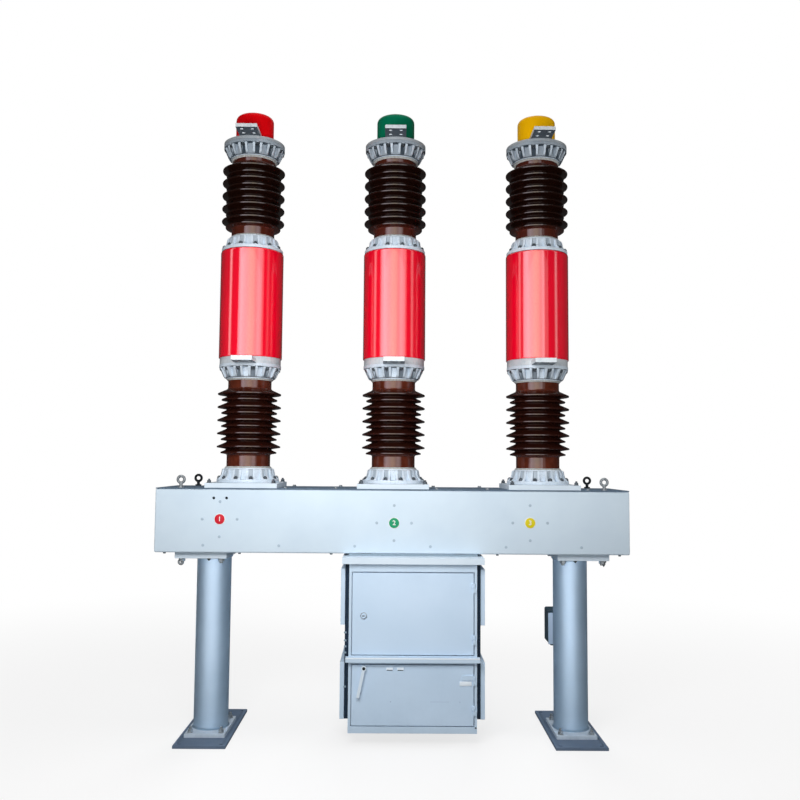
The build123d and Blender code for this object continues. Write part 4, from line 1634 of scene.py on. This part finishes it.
@dataclass
class Cabinet:
    """The mechanism cabinet: kept sheets with dark strips of painted shade, stops, locks and small
    fittings. Millimetres.
    """

    pattern: Pattern
    stop_y: float = -273.0
    stop_thickness: float = 2.0
    stop_overlap: float = 14.0
    seal_y: Point = (-252.0, -238.0)
    seal_z: Point = (136.0, 974.0)
    seal_gap: float = 0.5
    seal_width: float = 23.0
    clip_z: tuple[float, ...] = (599.0, 556.0, 524.0, 491.0, 308.0)
    clip_size: Triple = (14.0, 6.0, 10.0)
    skirt_inset: float = 30.0
    skirt_height: float = 12.0
    skirt_proud: float = 1.0
    lip_height: float = 8.0
    lip_proud: float = 0.8
    lock_spot: Point = (-154.0, 698.0)
    lock_depth: float = 12.0
    bezel_radius: float = 18.0
    hood_spots: tuple[Point, ...] = ((-10.0, 413.0), (49.0, 413.0))
    hood_width: float = 36.0
    hood_section: tuple[Point, ...] = (
        (0.0, 9.0), (-5.0, 6.0), (-8.0, 1.0), (-8.5, -2.0), (-7.5, -2.0), (0.0, 4.0),
    )
    slot_share: float = 0.84
    slot_z: Point = (-8.0, 2.0)
    mark_spots: tuple[Point, ...] = ((-4.0, 240.0), (372.0, 240.0))
    seam_spot: Triple = (210.0, 313.0, 240.0)
    corner_screw: Point = (458.0, 103.0)
    leaf_x: Point = (370.0, 436.0)
    leaf_z: Point = (326.0, 350.0)
    leaf_thickness: float = 5.0
    pivot_inset: float = 14.0
    pivot_sunk: float = 2.6

    def build(self) -> None:
        """Dresses the sheets and adds the fittings."""
        for nodes, finish, width in (
            (("cabinet_side_walls", "cabinet_back_wall", "cabinet_floor"), CABINET_PAINT, 0.8),
            (("front_stiles", "front_rails", "side_covers"), CABINET_PAINT, 1.4),
            (("cabinet_roof",), PLATE_PAINT, 1.0),
            (("rain_ledge",), CABINET_PAINT, 1.0),
            (("upper_door", "lower_door"), DOOR_PAINT, 1.4),
            (("door_handle",), PLATE_PAINT, 2.0),
        ):
            for node in nodes:
                soften(node, finish, width)
        self.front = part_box("front_rails")[0].y
        self.door_stops()
        self.seals()
        self.roof_skirt()
        self.ledge_lip()
        self.upper_fittings()
        self.lower_fittings()

    def door_stops(self) -> None:
        """Adds the folded returns behind the door edges, which the doors shut against."""
        rails_low, rails_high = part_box("front_rails")
        left, right = rails_low.x, rails_high.x
        front, back = self.stop_y * MM, (self.stop_y + self.stop_thickness) * MM
        reach = self.stop_overlap * MM
        stops = Shape()
        for door in ("upper_door", "lower_door"):
            low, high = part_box(door)
            gap = low.x - left
            bottom, top = low.z - gap, high.z + gap
            for x, z, far_x, far_z in (
                (left, bottom, left + reach, top),
                (right - reach, bottom, right, top),
                (left + reach, bottom, right - reach, bottom + reach),
                (left + reach, top - reach, right - reach, top),
            ):
                stops.block((x, front, z), (far_x, back, far_z))
        stops.place("door_stops", CABINET_PAINT, "cabinet_paint")

    def seals(self) -> None:
        """Adds dark strips of painted shade between the cabinet and its side covers, and the clips.
        """
        stiles_low, stiles_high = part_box("front_stiles")
        front, back = self.seal_y
        seals, clips = Shape(), Shape()
        for edge, side in ((stiles_low.x, -1), (stiles_high.x, 1)):
            start = edge / MM + side * self.seal_gap
            across = sorted((start, start + side * self.seal_width))
            # Dark strips in the rebates beside the cabinet: painted shade.
            seals.panel(across, self.seal_z, back * MM, back - front, 1.5)
        seals.place("side_seals", DARK_RUBBER_AND_SHADE, "cabinet_paint")
        width, depth, tall = self.clip_size
        middle = stiles_low.x / MM - self.seal_width * 0.9
        across = (middle - width / 2, middle + width / 2)
        for z in self.clip_z:
            clips.panel(across, (z - tall / 2, z + tall / 2), front * MM, depth, 1.5)
        clips.place("seal_clips", SHADE_GREY_PAINT, "cabinet_paint")

    def roof_skirt(self) -> None:
        """Closes the shaded gap between the roof and the beam with a grey sheet in painted shade, a
        hair in front of the two bars.
        """
        low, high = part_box("cabinet_roof")
        beam_low, beam_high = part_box("beam")
        inset, proud = self.skirt_inset * MM, self.skirt_proud * MM
        skirt = Shape().block(
            (low.x + inset, beam_low.y - proud, high.z - self.skirt_height * MM),
            (high.x - inset, beam_high.y + proud, high.z),
        )
        skirt.place("roof_skirt", SHADE_GREY_PAINT, "cabinet_paint")

    def ledge_lip(self) -> None:
        """Adds a white strip along the top of the rain ledge's front, a painted highlight."""
        low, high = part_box("rain_ledge")
        foot = (low.x, low.y - self.lip_proud * MM, high.z - self.lip_height * MM)
        lip = Shape().block(foot, (high.x, low.y, high.z), 0.3)
        lip.place("ledge_lip", HIGHLIGHT_WHITE_PAINT, "cabinet_paint")

    def upper_fittings(self) -> None:
        """Adds the lock's bezel and its slotted face to the upper door."""
        x, z = self.lock_spot
        spot = on_face(self.lock_spot, self.front)
        bezel = Shape().disc(self.bezel_radius, 3.0, spot, Facing.FRONT, 1.2)
        bezel.place("lock_bezel", ZINC, "door_paint", "upper_door")
        face = self.front - self.lock_depth * MM
        slot = Shape().panel((x - 8, x + 8), (z - 2.2, z + 2.2), face, 0.6)
        slot.disc(3.0, 0.8, on_face(self.lock_spot, face), Facing.FRONT, 0.2, 20)
        slot.place("lock_slot", HOLLOW, "door_paint", "upper_door")

    def lower_fittings(self) -> None:
        """Adds the lower door's hooded vents, rivets, seam and hinge leaf, and two screws."""
        hoods, slots, marks = Shape(), Shape(), Shape()
        turn = Matrix(((0, 0, 1, 0), (1, 0, 0, 0), (0, 1, 0, 0), (0, 0, 0, 1)))
        half = self.hood_width * self.slot_share / 2
        for x, z in self.hood_spots:
            place = Matrix.Translation(on_face((x, z), self.front)) @ turn
            hoods.prism(self.hood_section, self.hood_width, place)
            up = (z + self.slot_z[0], z + self.slot_z[1])
            slots.panel((x - half, x + half), up, self.front, 0.5)
        for spot in self.mark_spots:
            marks.disc(4.0, 1.4, on_face(spot, self.front), Facing.FRONT, 0.8, 16)
        start, end, z = self.seam_spot
        marks.panel((start, end), (z - 1.2, z + 1.2), self.front, 0.4)
        leaf = Shape().panel(self.leaf_x, self.leaf_z, self.front, self.leaf_thickness, 2.0)
        # The hinge leaf and the hoods are near white, a painted highlight; the slots near black,
        # painted shade.
        for name, shape, finish in (
            ("hinge_leaf", leaf, HIGHLIGHT_WHITE_PAINT),
            ("vent_hoods", hoods, HIGHLIGHT_WHITE_PAINT),
            ("vent_slots", slots, HOLLOW),
            ("door_rivets", marks, BOX_PAINT),
        ):
            shape.place(name, finish, "door_paint", "lower_door")
        spot = on_face(self.corner_screw, self.front)
        screw = Shape().disc(5.0, 2.0, spot, Facing.FRONT, 0.8, 16)
        screw.place("stile_screw", DULL_ZINC, "forged_steel")
        low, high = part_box("door_handle")
        inset = self.pivot_inset * MM
        spot = (high.x - inset, low.y + self.pivot_sunk * MM, high.z - inset)
        pivot = Shape().disc(9.0, 3.0, spot, Facing.FRONT, 1.0, 24)
        pivot.place("handle_pivot", DARK_STEEL_AND_SHADE, "handle_steel", "door_handle")


@dataclass
class JunctionBox:
    """The small box behind the right column, with its lid and gland. Millimetres."""

    pattern: Pattern
    depth: float = 170.0
    lid_inset: float = 5.0
    lid_thickness: float = 1.5
    plate_overhang: float = 8.0
    plate_inset: float = 9.0
    plate_thickness: float = 6.0
    screw_inset: float = 16.0
    gland_radius: float = 14.0
    gland_nut: float = 10.0
    gland_height: float = 20.0

    def build(self) -> None:
        """Dresses the box and adds its face plate, lid, screws and gland."""
        # The shell and lid are dark: painted shade behind the column.
        soften("junction_box", SHADED_BOX_PAINT, 2.0)
        low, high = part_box("junction_box")
        front, back = high.y - self.depth * MM, high.y
        aside, edge = self.plate_overhang * MM, self.plate_inset * MM
        plate = Shape().block(
            (low.x - aside, front - self.plate_thickness * MM, low.z + edge),
            (high.x + aside, front, high.z - edge),
            0.7,
        )
        plate.place("junction_box_back_plate", BOX_PAINT, "box_paint")
        inset, face = self.lid_inset * MM, back + self.lid_thickness * MM
        lid = Shape().block(
            (low.x + inset, back, low.z + inset), (high.x - inset, face, high.z - inset), 0.6
        )
        lid.place("junction_box_lid", SHADED_BOX_PAINT, "box_paint")
        inset = self.screw_inset * MM
        places = product((low.x + inset, high.x - inset), (low.z + inset, high.z - inset))
        spots = [(x, face, z) for x, z in places]
        self.pattern.fasten("junction_box_screws", BOX_SCREW, spots, ZINC, Facing.BACK)
        middle = ((low.x + high.x) / 2, (front + back) / 2, low.z)
        radius, nut = self.gland_radius, self.gland_nut
        gland = Shape().lathe([(0, 0), (radius, 0), (radius, nut), (0, nut)], middle, 6, Facing.DOWN)
        gland.disc(radius * 0.7, self.gland_height, middle, Facing.DOWN, 3.0, 24)
        gland.place("junction_box_gland", DARK_RUBBER_AND_SHADE, "box_paint")


@dataclass
class PhotoCamera:
    """The photograph's camera, as fitted to the object's own edges."""

    place: Triple = (0.003, -4.980, 1.534)
    focal_pixels: float = 845.0
    frame_pixels: float = 800.0
    sensor_mm: float = 36.0
    pitch: float = 4.209
    roll: float = 0.425
    yaw: float = 0.395

    def build(self) -> None:
        """Adds the camera and makes it the scene's."""
        pitch, roll, yaw = (math.radians(a) for a in (self.pitch, self.roll, self.yaw))
        ahead = Vector((
            math.sin(yaw) * math.cos(pitch), math.cos(yaw) * math.cos(pitch), math.sin(pitch)
        ))
        level = Vector((math.cos(yaw), -math.sin(yaw), 0.0))
        overhead = level.cross(ahead)
        right = math.cos(roll) * level + math.sin(roll) * overhead
        up = -math.sin(roll) * level + math.cos(roll) * overhead
        lens = bpy.data.cameras.new("photo_camera")
        lens.sensor_width = self.sensor_mm
        lens.lens = self.sensor_mm * self.focal_pixels / self.frame_pixels
        camera = added("photo_camera", lens)
        turn = Matrix((right, up, -ahead)).transposed().to_4x4()
        camera.matrix_world = Matrix.Translation(self.place) @ turn
        bpy.context.scene.camera = camera


@dataclass(frozen=True)
class Softbox:
    """One rectangular lamp. Metres and watts."""

    name: str
    place: Triple
    aim: Triple
    width: float
    tall: float
    power: float
    mirrored: bool = False
    lit: bool = True
    lights_only: tuple[str, ...] = ()
    skips: tuple[str, ...] = ()
    stripes: tuple[Stripe, ...] = ()

    def build(self) -> None:
        """Adds the lamp to the scene."""
        lamp = bpy.data.lights.new(self.name, "AREA")
        lamp.shape = "RECTANGLE"
        lamp.size, lamp.size_y = self.width, self.tall
        lamp.energy = self.power
        if self.stripes:
            self.stripe(lamp)
        holder = added(self.name, lamp)
        holder.location = self.place
        away = Vector(self.aim) - Vector(self.place)
        holder.rotation_euler = away.to_track_quat("-Z", "Y").to_euler()
        holder.visible_camera = False
        holder.visible_glossy = self.mirrored
        holder.visible_diffuse = self.lit
        if self.lights_only or self.skips:
            self.link_pieces(holder)

    def link_pieces(self, holder: Object) -> None:
        """Makes the lamp light only some pieces, or all but some.

        Args:
            holder: the object that holds the lamp.
        """
        named = bpy.data.collections.new(f"{self.name}_pieces")
        for piece in bpy.data.objects:
            if piece.name.endswith(self.lights_only or self.skips):
                named.objects.link(piece)
        holder.light_linking.receiver_collection = named
        for entry in named.collection_objects:
            entry.light_linking.link_state = "EXCLUDE" if self.skips else "INCLUDE"

    def stripe(self, lamp: bpy.types.Light) -> None:
        """Varies the lamp across its width, as the panes and posts of a long window do.

        Args:
            lamp: the lamp.
        """
        tree = empty_tree(lamp)
        across = add_node(tree, "ShaderNodeNewGeometry").outputs["Parametric"]
        ramp = add_node(tree, "ShaderNodeValToRGB", links={0: axis_of(tree, across, "X")})
        stops = ramp.color_ramp.elements
        for place, _, _ in self.stripes[1:-1]:
            stops.new(place)
        for stop, (_, strength, tone) in zip(stops, self.stripes):
            stop.color = (*(strength * c for c in linear(tone)[:3]), 1.0)
        glow = add_node(tree, "ShaderNodeEmission", links={"Color": ramp.outputs[0]})
        add_node(tree, "ShaderNodeOutputLight", links={0: glow.outputs[0]})


COLUMNS = ("left_column_pipe", "right_column_pipe", "column_welds")
SOFT_ENDS = tuple(
    (place, strength, "#E8F3FF")
    for place, strength in ((0.0, 0.0), (0.2, 0.8), (0.5, 1.0), (0.8, 0.8), (1.0, 0.0))
)
COLUMN_WINDOW = {"mirrored": True, "lit": False, "stripes": SOFT_ENDS}
SOFTBOXES = (
    Softbox("key_softbox", (-0.50, -2.50, 2.30), (0, 0, 1.4), 1.6, 1.2, 59.0, skips=COLUMNS),
    Softbox("fill_softbox", (-0.40, -5.00, 0.70), (0.0, 0, 0.8), 1.6, 1.2, 34.0, skips=COLUMNS),
    Softbox(
        "column_softbox", (0.0, -5.50, 1.10), (0, 0, 0.6), 1.4, 1.6, 46.0, lights_only=COLUMNS
    ),
    Softbox(
        "left_column_window", (-1.01, -1.50, 0.60), (-1.01, 0, 0.60), 3.8, 2.2, 440.0,
        lights_only=("left_column_pipe",), **COLUMN_WINDOW,
    ),
    Softbox(
        "right_column_window", (0.15, -1.50, 0.60), (0.15, 0, 0.60), 3.8, 2.2, 430.0,
        lights_only=("right_column_pipe",), **COLUMN_WINDOW,
    ),
    Softbox("top_softbox", (0.20, -0.80, 6.50), (0, 0, 1.0), 3.0, 3.0, 50.0),
    Softbox("back_softbox", (0.50, 5.50, 3.00), (0, 0, 1.6), 3.0, 3.0, 190.0, skips=COLUMNS),
    Softbox("left_softbox", (-5.00, -0.50, 2.50), (0, 0, 1.6), 2.0, 2.5, 30.0, skips=COLUMNS),
    Softbox("right_softbox", (5.00, -0.50, 2.50), (0, 0, 1.6), 2.0, 2.5, 60.0, skips=COLUMNS),
)


@dataclass(frozen=True)
class PoleWindows:
    """What one pole's gloss mirrors: a wide window in front and a slit at each side.

    The turns are those of mirrored rays from the way to the viewer, in degrees to the right.
    """

    pole: str
    ends: Point
    slits: tuple[Point, Point]
    viewer: Point = (0.0, -4.98)
    reach: float = 1.10
    level: float = 2.78
    tall: float = 2.90
    slit_reach: float = 1.45
    slit_width: float = 0.42
    housing_glow: float = 4.45
    porcelain_glow: float = 4.1
    panes: tuple[Stripe, ...] = (
        (-47.0, 0.95, "#FFF2FC"), (-38.0, 1.14, "#FFF2FC"), (-20.0, 0.86, "#FFF4F2"),
        (-6.0, 0.95, "#FFEFD8"), (6.0, 0.80, "#FFEFD8"), (14.0, 0.50, "#FFF6F0"),
        (25.0, 0.75, "#FFF6FA"),
    )
    slit: tuple[Stripe, ...] = ((0.0, 0.0, WHITE), (0.5, 1.0, WHITE), (1.0, 0.0, WHITE))

    def mirrored_ray(self, centre: Vector, radius: float, turn: float) -> tuple[Vector, Vector]:
        """Gives the ray that the viewer sees mirrored in the round housing.

        Args:
            centre: the housing's axis.
            radius: its radius.
            turn: the ray's turn from the way to the viewer.

        Returns:
            Where the ray leaves the housing, and its level direction.
        """
        toward = math.atan2(self.viewer[0] - centre.x, centre.y - self.viewer[1])
        facing = toward + math.radians(turn) / 2
        leaving = toward + math.radians(turn)
        start = Vector((centre.x + radius * math.sin(facing), centre.y - radius * math.cos(facing)))
        return start, Vector((math.sin(leaving), -math.cos(leaving)))

    def build(self) -> None:
        """Adds the windows, which light nothing but show mirrored in this pole."""
        low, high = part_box(f"{self.pole}_chamber")
        centre, radius = (low + high) / 2, (high.x - low.x) / 2
        plane = low.y - self.reach
        housing = (f"{self.pole}_chamber_housing",)
        porcelain = tuple(f"{self.pole}_{level}_porcelain_glazed" for level in PORCELAIN)

        def across(turn: float) -> float:
            """Gives the X at which a mirrored ray meets the window."""
            start, way = self.mirrored_ray(centre, radius, turn)
            return start.x + way.x * (plane - start.y) / way.y

        left, right = (across(turn) for turn in self.ends)
        middle, width = (left + right) / 2, right - left
        area = math.pi * width * self.tall
        stripes = [(0.0, 0.0, WHITE)]
        for turn, glow, tone in self.panes:
            if self.ends[0] < turn < self.ends[1] - 2:
                stripes.append(((across(turn) - left) / width, glow, tone))
        stripes.append((1.0, 0.15, WHITE))
        for name, glow, pieces in (
            ("housing", self.housing_glow, housing),
            ("porcelain", self.porcelain_glow, porcelain),
        ):
            Softbox(
                f"{self.pole}_{name}_window", (middle, plane, self.level),
                (middle, low.y, self.level), width, self.tall, glow * area, mirrored=True,
                lit=False, lights_only=pieces, stripes=tuple(stripes),
            ).build()
        for number, (turn, power) in enumerate(self.slits):
            start, way = self.mirrored_ray(centre, radius, turn)
            spot = start + way * self.slit_reach
            Softbox(
                f"{self.pole}_slit_window_{number}", (*spot, self.level), (*start, self.level),
                self.slit_width, self.tall, power, mirrored=True, lit=False,
                lights_only=housing, stripes=self.slit,
            ).build()


WINDOWS = (
    PoleWindows("left", (-51.0, 44.0), ((-83.0, 13.0), (61.0, 2.5))),
    PoleWindows("middle", (-56.0, 46.0), ((-76.0, 9.0), (68.0, 6.5))),
    PoleWindows("right", (-54.0, 29.0), ((-66.0, 8.0), (74.0, 9.0))),
)


def seen(tree: Tree) -> Socket:
    """Tells rays that see a surface, straight, mirrored or through glass, from light rays.

    Args:
        tree: the tree that asks.

    Returns:
        A socket that is 1 where the surface is seen.
    """
    path = add_node(tree, "ShaderNodeLightPath").outputs
    straight = maths(tree, "MAXIMUM", path["Is Camera Ray"], path["Is Glossy Ray"])
    return maths(tree, "MAXIMUM", straight, path["Is Transmission Ray"])


def staged_sheet(name: str, low: Triple, high: Triple, paint: bpy.types.Material) -> Object:
    """Adds a flat sheet of the studio, upright or level.

    Args:
        name: its name.
        low: its lowest corner.
        high: its highest corner.
        paint: its material.

    Returns:
        The sheet.
    """
    (left, front, foot), (right, back, top) = low, high
    if foot == top:
        corners = [(left, front, foot), (right, front, foot), (right, back, foot), (left, back, foot)]
    else:
        corners = [(left, front, foot), (right, back, foot), (right, back, top), (left, front, top)]
    mesh = bpy.data.meshes.new(name)
    mesh.from_pydata(corners, [], [(0, 1, 2, 3)])
    mesh.materials.append(paint)
    sheet = added(name, mesh)
    return sheet


@dataclass
class Studio:
    """A pale floor under a white surround, with soft lamps and dark cards out of view. Metres."""

    floor_reach: float = 40.0
    ambient: float = 0.12
    card_strength: float = 0.05
    floor_share: float = 0.75
    floor_fade: Point = (1.6, 6.0)
    floor_lighting: float = 0.28
    floor_seen: float = 0.9

    def build(self) -> None:
        """Adds the floor, the surround, the lamps and the cards."""
        self.floor()
        self.surround_light()
        for lights in (*SOFTBOXES, *WINDOWS):
            lights.build()
        self.cards()
        bpy.context.scene.view_settings.view_transform = "Standard"

    def cards(self) -> None:
        """Adds dark cards that only show mirrored, so that metal and gloss get dark edges."""
        paint = bpy.data.materials.new("dark_card")
        tree = empty_tree(paint)
        look = {"Color": linear(WHITE), "Strength": self.card_strength}
        felt = add_node(tree, "ShaderNodeEmission", look)
        add_node(tree, "ShaderNodeOutputMaterial", links={0: felt.outputs[0]})
        for name, low, high in (
            ("left_card", (-3.4, -4.2, 0.0), (-3.4, 4.0, 7.0)),
            ("right_card", (3.4, -4.2, 0.0), (3.4, 4.0, 7.0)),
            ("high_card", (-3.4, -4.6, 4.2), (3.4, -4.6, 7.0)),
            ("back_card", (-5.0, 4.2, 0.0), (5.0, 4.2, 6.0)),
            ("low_card", (-3.4, -4.2, 0.001), (3.4, 4.0, 0.001)),
        ):
            card = staged_sheet(name, low, high, paint)
            card.visible_camera = False
            card.visible_diffuse = False
            card.visible_shadow = False
            card.visible_transmission = False

    def floor(self) -> None:
        """Adds the pale floor, which fades into the white surround far away."""
        paint = bpy.data.materials.new("pale_floor")
        tree = empty_tree(paint)
        coords = add_node(tree, "ShaderNodeTexCoord").outputs["Object"]
        away = add_node(tree, "ShaderNodeVectorMath", links={0: coords}, operation="LENGTH")
        fade = ranged(
            tree, away.outputs["Value"], self.floor_fade, (self.floor_share, 1.0),
            interpolation_type="SMOOTHSTEP",
        )
        eyes = seen(tree)
        share = maths(tree, "MULTIPLY", fade, eyes)
        # Light that bounces off the floor is that of a mid-grey hall; only eyes see it pale.
        tones = {6: (*[self.floor_lighting] * 3, 1.0), 7: (*[self.floor_seen] * 3, 1.0)}
        tone = add_node(tree, "ShaderNodeMix", tones, {0: eyes}, data_type="RGBA").outputs[2]
        matt = add_node(tree, "ShaderNodeBsdfDiffuse", links={"Color": tone}).outputs[0]
        look = {"Color": linear(WHITE), "Strength": 1.0}
        glow = add_node(tree, "ShaderNodeEmission", look).outputs[0]
        blend = add_node(tree, "ShaderNodeMixShader", links={0: share, 1: matt, 2: glow})
        add_node(tree, "ShaderNodeOutputMaterial", links={0: blend.outputs[0]})
        reach = self.floor_reach
        staged_sheet("floor", (-reach, -reach, 0.0), (reach, reach, 0.0), paint)

    def surround_light(self) -> None:
        """Makes the world: white where it is seen, and a soft ambient where it lights."""
        world = bpy.data.worlds.new("white_surround")
        bpy.context.scene.world = world
        tree = empty_tree(world)
        strength = add_node(tree, "ShaderNodeMix", {2: self.ambient, 3: 1.0}, {0: seen(tree)})
        links = {"Strength": strength.outputs[0]}
        sky = add_node(tree, "ShaderNodeBackground", {"Color": linear(WHITE)}, links)
        add_node(tree, "ShaderNodeOutputWorld", links={0: sky.outputs[0]})


def main() -> None:
    """Builds the camera, every sub-assembly and the studio in order."""
    logging.basicConfig(level=logging.INFO, format="%(message)s")
    PhotoCamera().build()
    pattern = Pattern()
    for name in POLES:
        Pole(name, pattern).build()
    for assembly in (Beam, Support, Cabinet, JunctionBox):
        assembly(pattern).build()
    Studio().build()


if __name__ == "__main__":
    main()
